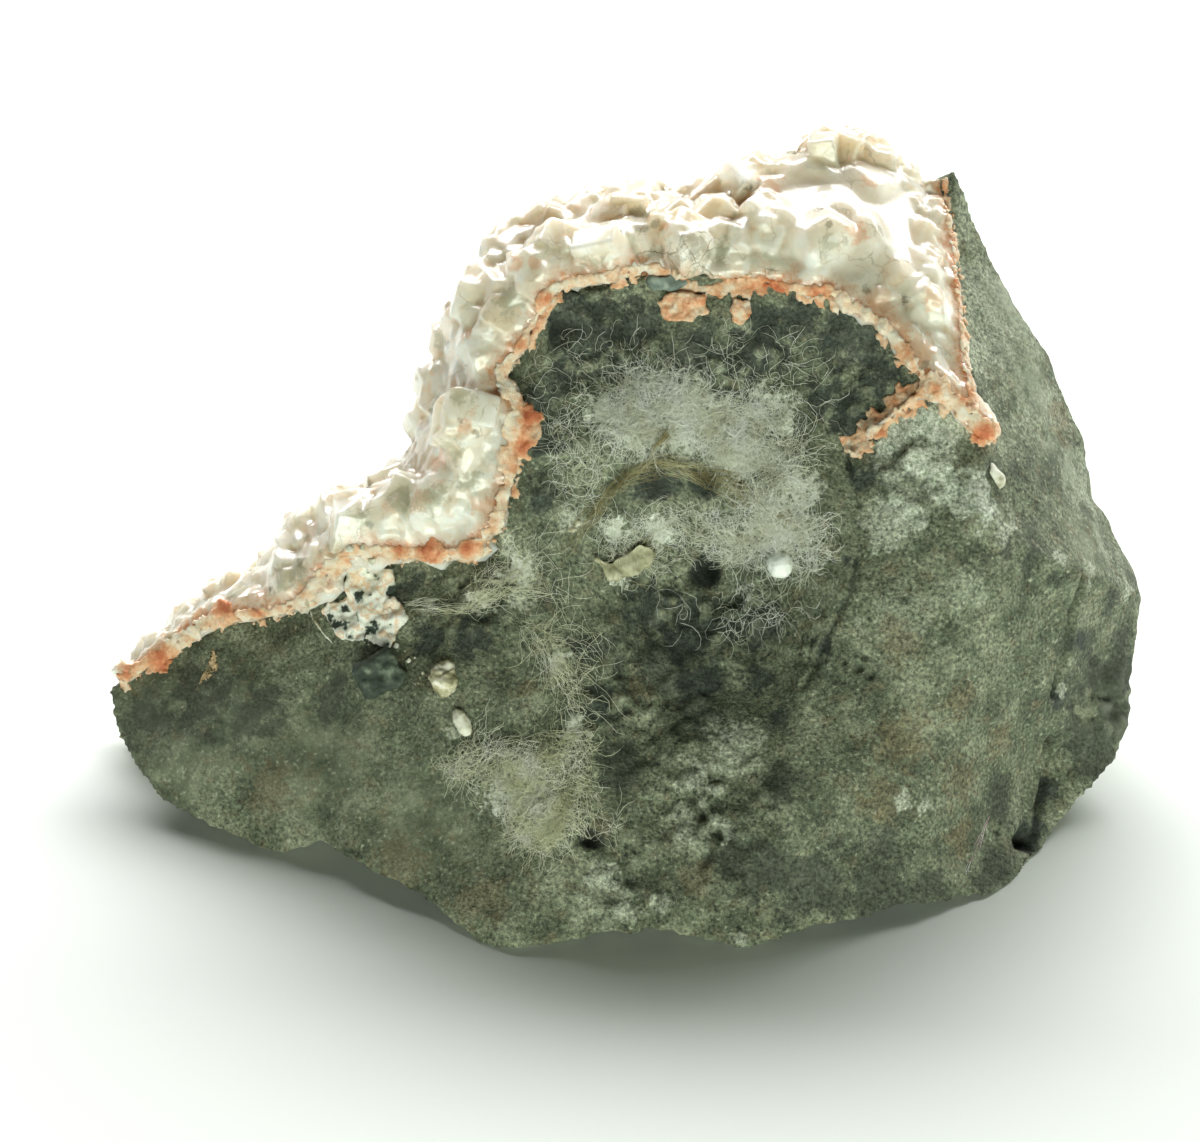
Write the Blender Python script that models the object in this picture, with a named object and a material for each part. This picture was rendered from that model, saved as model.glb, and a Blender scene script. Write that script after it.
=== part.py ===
"""Apophyllite specimen: a broken block of basalt with a crust of pale crystals along its crest and
down its back. Lengths are in millimetres until each mesh is finished: +X is to the right of the
broken front, +Y runs away from it and +Z is up.
"""

import math
import random

import bmesh
import bpy
from mathutils import Matrix, Vector, noise
from mathutils.bvhtree import BVHTree
from mathutils.geometry import delaunay_2d_cdt

MM = 0.001
SEED = 11
GAP = 0.3  # left between pieces that touch

# The broken front is a relief over a plane that leans back this far from upright.
LEAN = math.radians(35)
INTO = Vector((0, math.cos(LEAN), -math.sin(LEAN)))  # straight into the front
UP_SLOPE = Vector((0, math.sin(LEAN), math.cos(LEAN)))  # up along the front
MIDDLE = Vector((0, -4, 30.5))  # the point that across and up are counted from
OUTSIDE = 200  # farther from the middle than any part of the specimen

# ---- Basalt block ----------------------------------------------------------------------------
# Corners of the fracture faces. RIM goes round the block where front and back skins meet,
# clockwise from the thin left end as seen from the front.
RIM = {
    "tip": (-60.2, -0.3, 11.2),
    "crest_1": (-56.5, 2, 12.5),
    "crest_2": (-47.5, 5, 18.5),
    "crest_3": (-37, 5, 22.5),
    "crest_4": (-29, 4, 29),
    "crest_5": (-19, 3, 32),
    "crest_6": (-13.5, 5, 38),
    "crest_7": (-13.5, 9, 50),
    "crest_8": (-6.5, 15.5, 59.5),
    "crest_9": (4.5, 17, 60.5),
    "crest_10": (17, 20, 60),
    "crest_11": (28, 26, 61.5),
    "peak": (42, 27, 67),
    "flank_1": (47.6, 22.5, 54),
    "flank_2": (53, 18.5, 45.5),
    "flank_3": (58.3, 14.5, 37),
    "flank_4": (60, 12, 30.5),
    "cheek": (66, 7, 19),
    "cheek_low": (62, -7.5, 4.6),
    "heel_right": (53.5, -17.5, 0.3),
    "foot_right": (45.5, -26.8, 0.2),
    "sill_end": (41.7, -28.5, 1),
    "sill": (34.5, -31.8, 2),
    "nose": (16.6, -36.3, -0.4),
    "notch": (5.7, -34.6, 1.8),
    "foot_mid": (-4.6, -35.6, 0),
    "foot": (-12, -36, -0.5),
    "arch_1": (-19.5, -30.6, 1.4),
    "arch_2": (-26.5, -26, 2.4),
    "arch_3": (-33, -20.8, 2.9),
    "foot_left": (-37.2, -20.4, -0.3),
    "heel_left": (-43.6, -17, 0.3),
    "tail_low": (-53, -12.4, 2.3),
    "tip_low": (-59.2, -5.2, 7),
}
FRONT = {
    "tail_face": (-41.4, -8.6, 12),
    "left_face": (-23.3, -17.5, 11.5),
    "pocket": (-30, -2, 23),
    "left_ridge": (-17.2, -16.5, 16),
    "low_ridge": (-4.6, -30.5, 8.6),
    "mid_left": (-4.6, -7.6, 29),
    "mid_low": (2.3, -19.3, 17.4),
    "seam_1": (-12.5, -1.5, 36),
    "seam_2": (-8, 3.5, 47.5),
    "seam_3": (-5, 10.5, 59),
    "seam_4": (5, 12, 61),
    "seam_5": (17, 12, 60.5),
    "seam_6": (27.5, 10, 59),
    "seam_7": (35.2, 6.5, 55),
    "brow": (0, 9.5, 52),
    "bulge_left": (-1.2, -0.6, 42.3),
    "bulge_mid": (10.4, -0.8, 42.5),
    "hollow": (12.4, 0.5, 25),
    "hollow_low": (16.3, -9.1, 21.4),
    "hollow_right": (23.3, 8.1, 47.8),
    "step_top": (28.5, 2, 43),
    "step_mid": (30, -7.5, 34.4),
    "step_low": (23, -17.7, 23.3),
    "ridge_top": (39, -2.8, 46.5),
    "spur": (43, 4.2, 50),
    "edge_1": (42, 19.4, 58.7),
    "edge_2": (42.5, 10.6, 53.2),
    "shoulder": (44.5, -1.5, 46.5),
    "corner": (44, -7.4, 41.5),
    "edge_mid": (50, -7.2, 36.4),
    "elbow": (56, -5, 31),
    "right_face": (37.7, -20, 23.6),
    "nose_face": (20.5, -30, 11),
    "crack_1": (54.5, -6.9, 19.6),
    "crack_2": (51.6, -10.3, 6.5),
    "crack_3": (47.4, -18.2, 2.6),
    "cheek_face": (59, -3.5, 13),
    "under_crust_1": (24, 30, 60.5),
    "under_crust_2": (35, 20, 57.5),
}
BACK = {
    "back_0": (-56.5, 3, 8.5),
    "back_1": (-45, 13, 8),
    "back_2": (-28, 19, 14),
    "back_3": (-10, 22, 22),
    "back_4": (10, 26, 34),
    "back_5": (28, 32, 38),
    "back_6": (46, 33, 34),
    "back_7": (60, 22, 18),
    "back_8": (38, 36, 54),
    "back_9": (50, 29, 42),
    "base_1": (-50, 6, 3),
    "base_2": (-36, 19, -1),
    "base_3": (-14, 27, -1.5),
    "base_4": (12, 31, -1.5),
    "base_5": (36, 36, -1),
    "base_6": (54, 26, 1),
    "base_7": (55, 6, -0.5),
    "base_8": (40, -16, -1.5),
    "base_9": (20, -26, -1.5),
    "base_10": (-6, -28, -1),
    "base_11": (-26, -15, 1),
    "base_12": (-38, -8, -1),
    "base_13": (0, 2, -2),
    "base_14": (28, 8, -1.5),
}
# Sharp breaks between fracture faces, each a run of corners.
CREASES = (
    ("peak", "edge_1", "edge_2", "spur", "shoulder", "corner", "edge_mid", "elbow", "cheek"),
    ("elbow", "crack_1", "crack_2", "crack_3", "foot_right"),
    ("seam_7", "step_top", "step_mid", "step_low", "nose_face", "nose"),
    ("corner", "ridge_top", "seam_7"),
    ("pocket", "left_ridge", "low_ridge", "foot_mid"),
    ("seam_1", "seam_2", "seam_3", "seam_4", "seam_5", "seam_6", "seam_7", "spur"),
)
ROCK_EDGE = 6.0  # longest edge left in the mesh of the broken front
BACK_EDGE = 12.0  # and in the back, which the crust mostly covers
RELAXED = 3  # rounds of smoothing between the sharp breaks
EDGE_WEAR = 0.2  # how far the sharp breaks are worn, as a share of one round
ROUGHNESS = ((13, 1.3), (5, 0.7))  # size and depth of the fracture's waves

# ---- Crystal crust ---------------------------------------------------------------------------
# Sections through the crust from the tail to the peak. Each has the foot on the broken front, the
# brow, the top rim and the foot of the back.
CRUST = (
    ((-58, 0, 12), (-57.5, 0.8, 13), (-57, 3, 12.6), (-56, 6, 8)),
    ((-52, 0.5, 15), (-51.5, 1.6, 17.6), (-50.7, 6.3, 17.4), (-51, 12, 5)),
    ((-47, 1.5, 19), (-46.5, 2.6, 21.6), (-45.5, 8, 21.3), (-46, 17, 4)),
    ((-39, -0.5, 21.7), (-39.7, 0.9, 24.4), (-40.4, 6.4, 24.5), (-40, 22, 3.5)),
    ((-33.3, -1, 24.3), (-34.3, 0, 29.3), (-35.2, 8.5, 29.2), (-34, 27, 3)),
    ((-29, 0.6, 30), (-30, 1.1, 33.5), (-29.5, 9, 33.3), (-28, 31, 3)),
    ((-18.6, -2.7, 32.3), (-20.8, -2.1, 38.5), (-24.2, 8.1, 37.3), (-21, 34, 3)),
    ((-12.5, -3.6, 36.3), (-16.7, -0.8, 43.8), (-20.8, 9.8, 41.4), (-15, 37, 3)),
    ((-9, 2.9, 47.3), (-13.8, 3, 51), (-20.7, 13.7, 47), (-9, 39, 4)),
    ((-12, 5.9, 51.6), (-14.9, 7, 56.6), (-18, 17.2, 53.8), (-2, 41, 5)),
    ((-5.5, 10.8, 60.4), (-7.5, 11.9, 63.7), (-10.6, 21.7, 60.3), (4, 43, 5)),
    ((4.6, 12, 62.2), (2.9, 13.9, 66.5), (1.2, 25, 64.9), (12, 44.5, 5)),
    ((16.7, 11.7, 61.6), (15.5, 13.9, 66.5), (14, 25.2, 65.3), (20, 45.5, 6)),
    ((27, 9.7, 60.6), (24.7, 14.2, 67), (22.3, 27.9, 69), (28, 46, 8)),
    ((35, 5.5, 56.2), (32.8, 12.9, 65.1), (31.2, 29.6, 69.8), (36, 46, 12)),
    ((38.9, 1.3, 52), (38, 11, 60.8), (37, 29.3, 67.6), (42, 44, 18)),
    ((43.8, -0.8, 47.6), (41.7, 9.5, 55), (40.7, 29, 65.3), (45, 40, 26)),
)
CRUST_CORE = 0.45  # how far from the front foot to the back foot the crust's inner line lies
CORE_DEPTH = 9  # and how far below that line, well inside the basalt
BACK_BULGE = 3  # how far the back of the crust stands out between rim and foot
FOOT_STEP = 3  # spacing of the points on the crust's foot that crystals keep clear of
CRYSTALS_FROM = 10  # lowest place where a crystal is rooted, so that none reaches the resting plane
CRYSTAL_DRAW = 0.9  # the bare crust lies this far inside the brow and rim, under its crystals
SHOULDER = 0.3  # height of a crystal's pyramid, as a share of its width
BLADES = (1, 1, 0.8, 0.45)  # depths of a crystal as shares of its width, square ones twice as often
CUT_TIPS = (0.08, 0.45, 0.6)  # how wide the flat that cuts off a pyramid is, as a share of the prism
# Each habit: distance between crystals, their width, their length and the height that stands out
# as shares of it, how far they lean at random, and how far they keep from the crust's foot.
FRONT_CRYSTALS = {
    "spacing": 4.8,
    "width": (5.0, 7.5),
    "length": (0.8, 1.1),
    "stands": (0.1, 0.27),
    "tilt": 0.34,
    "clear": 3.6,
}
BACK_CRYSTALS = {
    "spacing": 8.6,
    "width": (8.5, 12.5),
    "length": (0.45, 0.6),
    "stands": (0.1, 0.26),
    "tilt": 0.3,
    "clear": 12,
}

# ---- Orange seam -----------------------------------------------------------------------------
# It follows the crust's front foot, turns at the spur and climbs the crust's right-hand edge.
SEAM_STEP = 2.6  # distance between its teeth
SEAM_REACH = (0.3, 2.6)  # least and most that it runs down over the basalt
SEAM_RISE = (0.6, 2.2)  # and up over the crust
SEAM_STANDS = 0.7  # how far it stands proud
SEAM_DEPTH = 3.2  # how far it goes in under the crust
LOWER_LIP = 0.6  # how far its lower lip stands proud, as a share of the rest
EDGE_TURN = 0.8  # along the right-hand edge it faces this much forward for 1 to the right
VEIN = ((39, 2.2, 51.5), (36.7, 1.6, 50.8), (34.2, 1.6, 49), (31.4, 1.2, 46.6), (28.7, 0.6, 43.2))
VEIN_WIDTH = (3.2, 1)  # at the seam and at its end
VEIN_DEPTH = 2
VEIN_RAGGED = (0.7, 1.2)  # least and most of that width at any place
SPUR_END = {"at": (44.2, 16.2), "size": (4.2, 4.6, 3.2), "turn": 0}

# ---- Minerals and dust on the broken front ---------------------------------------------------
# Places are (across, up) on the leaned plane. A patch has an outline, its thickness at the
# outline and in the middle, and the spacing of its surface points.
PATCHES = {
    "salmon_patch_left": {
        "outline": ((6.4, 31), (8.6, 32.2), (12, 31.6), (12.4, 29.8), (10.6, 28.8), (7.6, 29)),
        "thick": (0.7, 1.4),
        "spacing": 1.3,
        "colour": (0.66, 0.26, 0.15),
    },
    "salmon_patch_right": {
        "outline": ((15.4, 31.3), (17.4, 31.2), (17.6, 29.8), (16.4, 28.2), (15.2, 28.9)),
        "thick": (0.6, 1.2),
        "spacing": 1.2,
        "colour": (0.55, 0.2, 0.11),
    },
    "zeolite_pocket": {
        "outline": (
            (-34.4, -1.6), (-31.5, 0.4), (-27.6, 1.4), (-24.4, -0.8), (-22.7, -5.4),
            (-24.6, -9), (-29.2, -8.4), (-32.4, -5.8),
        ),
        "thick": (0.7, 1.6),
        "spacing": 1.9,
        "colour": (0.8, 0.76, 0.66),
    },
    "peach_sliver": {
        "outline": ((-46, -7.6), (-44.8, -8.8), (-45.6, -12), (-47, -15), (-48.2, -14.2), (-46.8, -11)),
        "thick": (0.4, 0.9),
        "spacing": 1.2,
        "colour": (0.6, 0.44, 0.3),
    },
    "khaki_flake": {
        "outline": ((-0.6, 1.4), (1.4, 1), (4.6, 3.2), (6.2, 2.6), (6, 0.4), (3.4, -0.6), (1.2, -1.4)),
        "thick": (1.2, 2.2),
        "spacing": 1.5,
        "colour": (0.42, 0.42, 0.28),
    },
    "lint_mat_centre": {
        "outline": (
            (-6.5, 15), (-3, 23), (3.5, 25.6), (11.5, 27), (19, 26), (25, 24.2), (27.5, 17), (27, 8),
            (28.5, 1.5), (24, -4.5), (17.4, -1), (12.8, 2.4), (8.6, -1), (3.4, -3), (-1.6, -0.4),
            (-5, 5.8),
        ),
        "thick": (0.8, 1.9),
        "spacing": 4.6,
        "colour": (0.3, 0.34, 0.26),
    },
    "lint_mat_lower": {
        "outline": (
            (-19, -22.5), (-14, -20), (-3, -20.6), (1, -24), (1, -29.7), (-1.7, -33), (-7, -32.4),
            (-11.5, -26.4), (-16.4, -25),
        ),
        "thick": (0.8, 1.9),
        "spacing": 2.8,
        "colour": (0.36, 0.38, 0.26),
    },
    "lint_strand_left": {
        "outline": ((-21.6, -3.6), (-17.5, -1.4), (-6.8, -0.6), (-3.8, -2.4), (-8, -4.2), (-17.5, -6.2)),
        "thick": (0.6, 1.3),
        "spacing": 2.6,
        "colour": (0.28, 0.31, 0.23),
    },
    "lint_tuft": {
        "outline": ((-8, -7.8), (-1.2, -8), (0.3, -13.8), (0.2, -18.6), (-2.6, -17), (-5.4, -13.8)),
        "thick": (0.6, 1.3),
        "spacing": 2.4,
        "colour": (0.32, 0.34, 0.24),
    },
}
PATCH_DIP = 1.5  # how far a patch goes under the basalt's surface
PATCH_SWELL = 0.35  # how much its thickness varies, as a share
PATCH_WAVE = 1.2  # length of that variation, in spacings
RIM_ROOM = 0.45  # least distance of a surface point from the outline, in spacings
# Lumps: place, width across, height up the front and depth, and a turn in the plane in degrees.
LUMPS = {
    "green_crystal": {"at": (-25.8, -12), "size": (5.4, 4.6, 4), "turn": 30, "colour": (0.16, 0.22, 0.17)},
    "amygdule_upper": {"at": (-18, -12.7), "size": (3.6, 4.2, 3), "turn": 10, "colour": (0.62, 0.6, 0.48)},
    "amygdule_lower": {"at": (-15.9, -17.6), "size": (2, 3.8, 1.8), "turn": 25, "colour": (0.72, 0.74, 0.66)},
    "cream_sliver": {"at": (45.4, 11), "size": (1.8, 3.8, 1.8), "turn": 30, "colour": (0.7, 0.72, 0.64)},
    "grey_nodule": {"at": (7.6, 33.4), "size": (5, 2.4, 2.6), "turn": 0, "colour": (0.3, 0.36, 0.32)},
    "white_bead": {"at": (20.9, 0.7), "size": (3.3, 3.3, 3.3), "turn": 0, "colour": (0.8, 0.84, 0.8)},
}
BLOCKY = {"green_crystal"}  # a block with flat faces; the others are rounded
SMOOTH = {"white_bead"}
LUMP_SINK = 0.3  # share of a lump's depth that is under the basalt's surface
LUMP_SWELL = 0.3  # how far a rounded lump is from an ellipsoid, as a share of its size
LUMP_WAVES = 3  # how many swellings and dents there are across it
BLOCK_BEVEL = 0.12  # width of a block's cut edges, as a share of its size


def skin(corners, inner, creases):
    """Triangles over all these corners, as seen square on to the front, with the creases kept."""
    names = list(corners) + list(inner)
    points = {**corners, **inner}
    flat = [Vector((Vector(points[n]).x, Vector(points[n]).dot(UP_SLOPE))) for n in names]
    rim = [(i, (i + 1) % len(corners)) for i in range(len(corners))]
    index = {n: i for i, n in enumerate(names)}
    kept = [(index[a], index[b]) for run in creases for a, b in zip(run, run[1:])]
    inside_rim = 1
    triangles = delaunay_2d_cdt(flat, rim + kept, [], inside_rim, 1e-5)[2]
    return [tuple(names[i] for i in triangle) for triangle in triangles]


def split_long_edges(bm, longest):
    """Halves every edge over the length given for its face's material slot until none is left."""
    while True:
        long_edges = [
            e for e in bm.edges if e.calc_length() > min(longest[f.material_index] for f in e.link_faces)
        ]
        if not long_edges:
            return
        bmesh.ops.subdivide_edges(bm, edges=long_edges, cuts=1)
        bmesh.ops.triangulate(bm, faces=bm.faces)


def roughen(bm, waves, seed):
    """Moves each vertex along its normal by noise, one layer for each (size, depth)."""
    bm.normal_update()
    moved = []
    for vertex in bm.verts:
        push = sum(
            depth * noise.noise(vertex.co / size + Vector((seed + size, 0, 0)))
            for size, depth in waves
        )
        moved.append(vertex.co + vertex.normal * push)
    for vertex, place in zip(bm.verts, moved):
        vertex.co = place


def cut_flat(bm, height):
    """Cuts the mesh level at this height and closes the cut."""
    everything = bm.verts[:] + bm.edges[:] + bm.faces[:]
    cut = bmesh.ops.bisect_plane(
        bm, geom=everything, dist=1e-4, plane_co=(0, 0, height), plane_no=(0, 0, -1), clear_outer=True
    )
    edges = [e for e in cut["geom_cut"] if isinstance(e, bmesh.types.BMEdge)]
    bmesh.ops.contextual_create(bm, geom=edges)
    bmesh.ops.triangulate(bm, faces=bm.faces)


def smooth(bm, verts, factor):
    """Moves these vertices towards the middle of their neighbours."""
    bmesh.ops.smooth_vert(
        bm, verts=verts, factor=factor, use_axis_x=True, use_axis_y=True, use_axis_z=True
    )


def basalt():
    """The block as one closed mesh, standing on the flat left by its broken underside."""
    bm = bmesh.new()
    places = {**RIM, **FRONT, **BACK}
    corners = {name: bm.verts.new(place) for name, place in places.items()}
    for slot, triangles in enumerate((skin(RIM, FRONT, CREASES), skin(RIM, BACK, ()))):
        for triangle in triangles:
            bm.faces.new([corners[name] for name in triangle]).material_index = slot
    bmesh.ops.recalc_face_normals(bm, faces=bm.faces)
    for run in (*CREASES, (*RIM, next(iter(RIM)))):
        for a, b in zip(run, run[1:]):
            bm.edges.get((corners[a], corners[b])).seam = True
    split_long_edges(bm, (ROCK_EDGE, BACK_EDGE))
    between = [v for v in bm.verts if not any(e.seam for e in v.link_edges)]
    for _ in range(RELAXED):
        smooth(bm, between, 0.5)
    smooth(bm, bm.verts, EDGE_WEAR)
    roughen(bm, ROUGHNESS, SEED)
    cut_flat(bm, 0)
    keep_largest(bm)
    for face in bm.faces:
        face.material_index = 0
    return bm


def crust_ring(section):
    """The closed outline of one section of the crust: front foot, brow, rim, back and core."""
    foot, brow, rim, back_foot = (Vector(p) for p in section)
    core = foot.lerp(back_foot, CRUST_CORE) - Vector((0, 0, CORE_DEPTH))
    out = ((rim + back_foot) / 2 - core).normalized() * BACK_BULGE
    brow, rim = (p + (core - p).normalized() * CRYSTAL_DRAW for p in (brow, rim))
    back = [rim.lerp(back_foot, share) + out * math.sin(math.pi * share) for share in (0.33, 0.67)]
    return [foot, brow, rim, *back, back_foot, core]


def loft(rings):
    """A closed body through these rings of points, and its rows of faces between them."""
    bm = bmesh.new()
    rings = [[bm.verts.new(p) for p in ring] for ring in rings]
    rows = []
    for a, b in zip(rings, rings[1:]):
        pairs = zip(range(len(a)), [*range(1, len(a)), 0])
        rows.append([bm.faces.new((a[i], a[j], b[j], b[i])) for i, j in pairs])
    bm.faces.new(rings[0][::-1])
    bm.faces.new(rings[-1])
    bmesh.ops.recalc_face_normals(bm, faces=bm.faces)
    return bm, rows


def scattered(faces, spacing, chance):
    """(point, normal) pairs spread over these faces, at least this far apart."""
    corners = [(f.verts[0].co, f.verts[k].co, f.verts[k + 1].co, f.normal) for f in faces for k in (1, 2)]
    areas = [(b - a).cross(c - a).length / 2 for a, b, c, _ in corners]
    found = []
    for _ in range(int(sum(areas) / spacing**2 * 12)):
        a, b, c, normal = chance.choices(corners, areas)[0]
        u, v = chance.random(), chance.random()
        if u + v > 1:
            u, v = 1 - u, 1 - v
        point = a + (b - a) * u + (c - a) * v
        if all((point - other).length > spacing for other, _ in found):
            found.append((point, normal.copy()))
    return found


def crystal(width, length, blade, truncation):
    """Corners of an apophyllite prism along +Z: square or bladed, under a pyramid often cut off."""
    half, depth = width / 2, width * blade / 2
    shoulder = length - width * SHOULDER
    sides = [(half, depth), (-half, depth), (-half, -depth), (half, -depth)]
    points = [Vector((x, y, 0)) for x, y in sides] + [Vector((x, y, shoulder)) for x, y in sides]
    return points + [Vector((x * truncation, y * truncation, length)) for x, y in sides]


def add_crystals(bm, spots, habit, chance):
    """Sets a crystal on each spot, leaning at random off the surface's normal."""
    low, high = habit["width"]
    for point, normal in spots:
        width = low + (high - low) * chance.random() ** 2
        length = width * chance.uniform(*habit["length"])
        lean = Vector([chance.uniform(-1, 1) * habit["tilt"] for _ in range(3)])
        axis = (normal + lean).normalized()
        blade = chance.choice(BLADES)
        truncation = chance.choice(CUT_TIPS)
        spin = Matrix.Rotation(chance.uniform(0, math.tau), 3, "Z")
        turn = axis.to_track_quat("Z", "Y").to_matrix() @ spin
        corners = crystal(width, length, blade, truncation)
        root = point - axis * (length - width * chance.uniform(*habit["stands"]))
        verts = [bm.verts.new(root + turn @ corner) for corner in corners]
        bmesh.ops.convex_hull(bm, input=verts)


def helper(name, bm):
    """A mesh that is left out of the build, for cutting or joining others."""
    mesh = bpy.data.meshes.new(name)
    bm.to_mesh(mesh)
    guide = bpy.data.objects.new(name, mesh)
    bpy.context.scene.collection.objects.link(guide)
    guide.hide_render = True
    guide.display_type = "WIRE"
    return guide


def grown(bm, by):
    """A copy of the mesh with its surface moved out by this much."""
    wider = bm.copy()
    wider.normal_update()
    places = [v.co + v.normal * by for v in wider.verts]
    for vertex, place in zip(wider.verts, places):
        vertex.co = place
    return wider


def combined(bm, steps):
    """The largest closed body left after each (Boolean operation, helper) on this mesh."""
    body = helper("body", bm)
    for operation, other in steps:
        step = body.modifiers.new(operation, "BOOLEAN")
        step.operation = operation
        step.object = other
        step.use_self = True
    graph = bpy.context.evaluated_depsgraph_get()
    result = bmesh.new()
    result.from_mesh(body.evaluated_get(graph).to_mesh())
    bmesh.ops.triangulate(result, faces=result.faces)
    drop_fins(result)
    keep_largest(result)
    return result


def drop_fins(bm):
    """Removes pairs of triangles that lie back to back on the same corners."""
    seen = {}
    for face in bm.faces:
        seen.setdefault(frozenset(face.verts), []).append(face)
    fins = [face for pair in seen.values() if len(pair) > 1 for face in pair]
    bmesh.ops.delete(bm, geom=fins, context="FACES")


def keep_largest(bm):
    """Drops every loose island but the one with the most faces."""
    left, islands = set(bm.faces), []
    while left:
        stack = [left.pop()]
        island = set(stack)
        while stack:
            near = {face for edge in stack.pop().edges for face in edge.link_faces} & left
            left -= near
            island |= near
            stack.extend(near)
        islands.append(island)
    largest = max(islands, key=len)
    bmesh.ops.delete(bm, geom=[f for f in bm.faces if f not in largest], context="FACES")


def crust(rock_room, seam_body):
    """The crust with its crystals grown on, fitted to the basalt and the seam, and the bare crust."""
    chance = random.Random(SEED)
    body, rows = loft([crust_ring(section) for section in CRUST])
    front = [face for row in rows for face in row[:2]]
    back = [face for row in rows for face in row[2:5]]
    foot_line = even_steps([Vector(p) for p in (*(section[0] for section in CRUST), *CRUST[-1][1:3])], FOOT_STEP)
    crystals = bmesh.new()
    for faces, habit in ((front, FRONT_CRYSTALS), (back, BACK_CRYSTALS)):
        spots = scattered(faces, habit["spacing"], chance)
        room = [(p, n) for p, n in spots if min((p - f).length for f in foot_line) > habit["clear"]]
        add_crystals(crystals, [s for s in room if s[0].z > CRYSTALS_FROM], habit, chance)
    steps = (
        ("UNION", helper("crystals", crystals)),
        ("DIFFERENCE", rock_room),
        ("DIFFERENCE", helper("seam_room", grown(seam_body, GAP))),
    )
    return combined(body, steps), body


def even_steps(points, step):
    """Points this far apart along the run through these."""
    run = []
    for a, b in zip(points, points[1:]):
        count = max(1, round((b - a).length / step))
        run += [a.lerp(b, i / count) for i in range(count)]
    return [*run, points[-1]]


def band_ring(point, tangent, out, low, high, depth):
    """A section of a mineral band: from its lower lip over its face to its upper lip, and in."""
    side = tangent.cross(out).normalized()
    lower = point + side * low + out * SEAM_STANDS * LOWER_LIP
    upper = point - side * high + out * SEAM_STANDS
    return [lower, upper, upper - out * depth, lower - out * depth]


def seam():
    """The orange band under the crust's edge, with its vein, before the basalt is cut away."""
    chance = random.Random(SEED + 1)
    feet = [Vector(section[0]) for section in CRUST]
    edge = [Vector(p) for p in CRUST[-1][1:3]]
    toward_front = -INTO
    toward_right = (toward_front * EDGE_TURN + Vector((1, 0, 0))).normalized()
    path = even_steps([*feet, *edge], SEAM_STEP)
    turn_at = len(even_steps(feet, SEAM_STEP))
    rings = []
    for i, point in enumerate(path):
        before, after = path[max(i - 1, 0)], path[min(i + 1, len(path) - 1)]
        out = toward_front if i < turn_at else toward_right
        low, high = chance.uniform(*SEAM_REACH), chance.uniform(*SEAM_RISE)
        rings.append(band_ring(point, (after - before).normalized(), out, low, high, SEAM_DEPTH))
    band, _ = loft(rings)

    path = even_steps([Vector(p) for p in VEIN], SEAM_STEP)
    rings = []
    for i, point in enumerate(path):
        share = i / (len(path) - 1)
        before, after = path[max(i - 1, 0)], path[min(i + 1, len(path) - 1)]
        half = (VEIN_WIDTH[0] * (1 - share) + VEIN_WIDTH[1] * share) / 2
        low, high = half * chance.uniform(*VEIN_RAGGED), half * chance.uniform(*VEIN_RAGGED)
        rings.append(band_ring(point, (after - before).normalized(), toward_front, low, high, VEIN_DEPTH))
    vein, _ = loft(rings)
    return combined(band, [("UNION", helper("vein", vein))])


def surface(tree, across, up):
    """The point of the basalt's front seen straight on at this place."""
    start = MIDDLE + Vector((across, 0, 0)) + UP_SLOPE * up - INTO * OUTSIDE
    return tree.ray_cast(start, INTO)[0]


def patch(tree, outline, thick, spacing):
    """A slab that follows the front inside this outline and dips under the basalt's surface."""
    flat = [Vector(p) for p in outline]
    low, high = (Vector([pick(p[k] for p in outline) for k in (0, 1)]) for pick in (min, max))
    count = [int((high[k] - low[k]) / spacing) for k in (0, 1)]
    for row in range(count[1] + 1):
        for column in range(count[0] + 1):
            place = low + Vector((column + 0.5 * (row % 2) + 0.25, row + 0.5)) * spacing
            if room_inside(place, outline) > spacing * RIM_ROOM:
                flat.append(place)
    rim = [(i, (i + 1) % len(outline)) for i in range(len(outline))]
    inside_rim = 1
    places, _, triangles = delaunay_2d_cdt(flat, rim, [], inside_rim, 1e-5)[:3]
    bm = bmesh.new()
    tops, bottoms = [], []
    for place in places:
        share = min(1, max(0, room_inside(place, outline)) / (2 * spacing))
        bump = 1 + PATCH_SWELL * noise.noise(Vector((*place, 0)) / (PATCH_WAVE * spacing)) * share
        point = surface(tree, *place)
        tops.append(bm.verts.new(point - INTO * (thick[0] + (thick[1] - thick[0]) * share) * bump))
        bottoms.append(bm.verts.new(point + INTO * PATCH_DIP))
    for a, b, c in triangles:
        bm.faces.new((tops[a], tops[b], tops[c]))
        bm.faces.new((bottoms[c], bottoms[b], bottoms[a]))
    for a, b in [e.verts for e in bm.edges if e.is_boundary and e.verts[0] in tops]:
        bm.faces.new((a, b, bottoms[tops.index(b)], bottoms[tops.index(a)]))
    bmesh.ops.recalc_face_normals(bm, faces=bm.faces)
    bmesh.ops.triangulate(bm, faces=bm.faces)
    return bm


def room_inside(place, outline):
    """How far this place is inside the outline; negative when it is outside."""
    inside = False
    nearest = math.inf
    for a, b in zip(outline, [*outline[1:], outline[0]]):
        a, b = Vector(a), Vector(b)
        share = max(0, min(1, (place - a).dot(b - a) / (b - a).length_squared))
        nearest = min(nearest, (place - a.lerp(b, share)).length)
        if (a.y > place.y) != (b.y > place.y):
            if place.x < a.x + (b.x - a.x) * (place.y - a.y) / (b.y - a.y):
                inside = not inside
    return nearest if inside else -nearest


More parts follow.
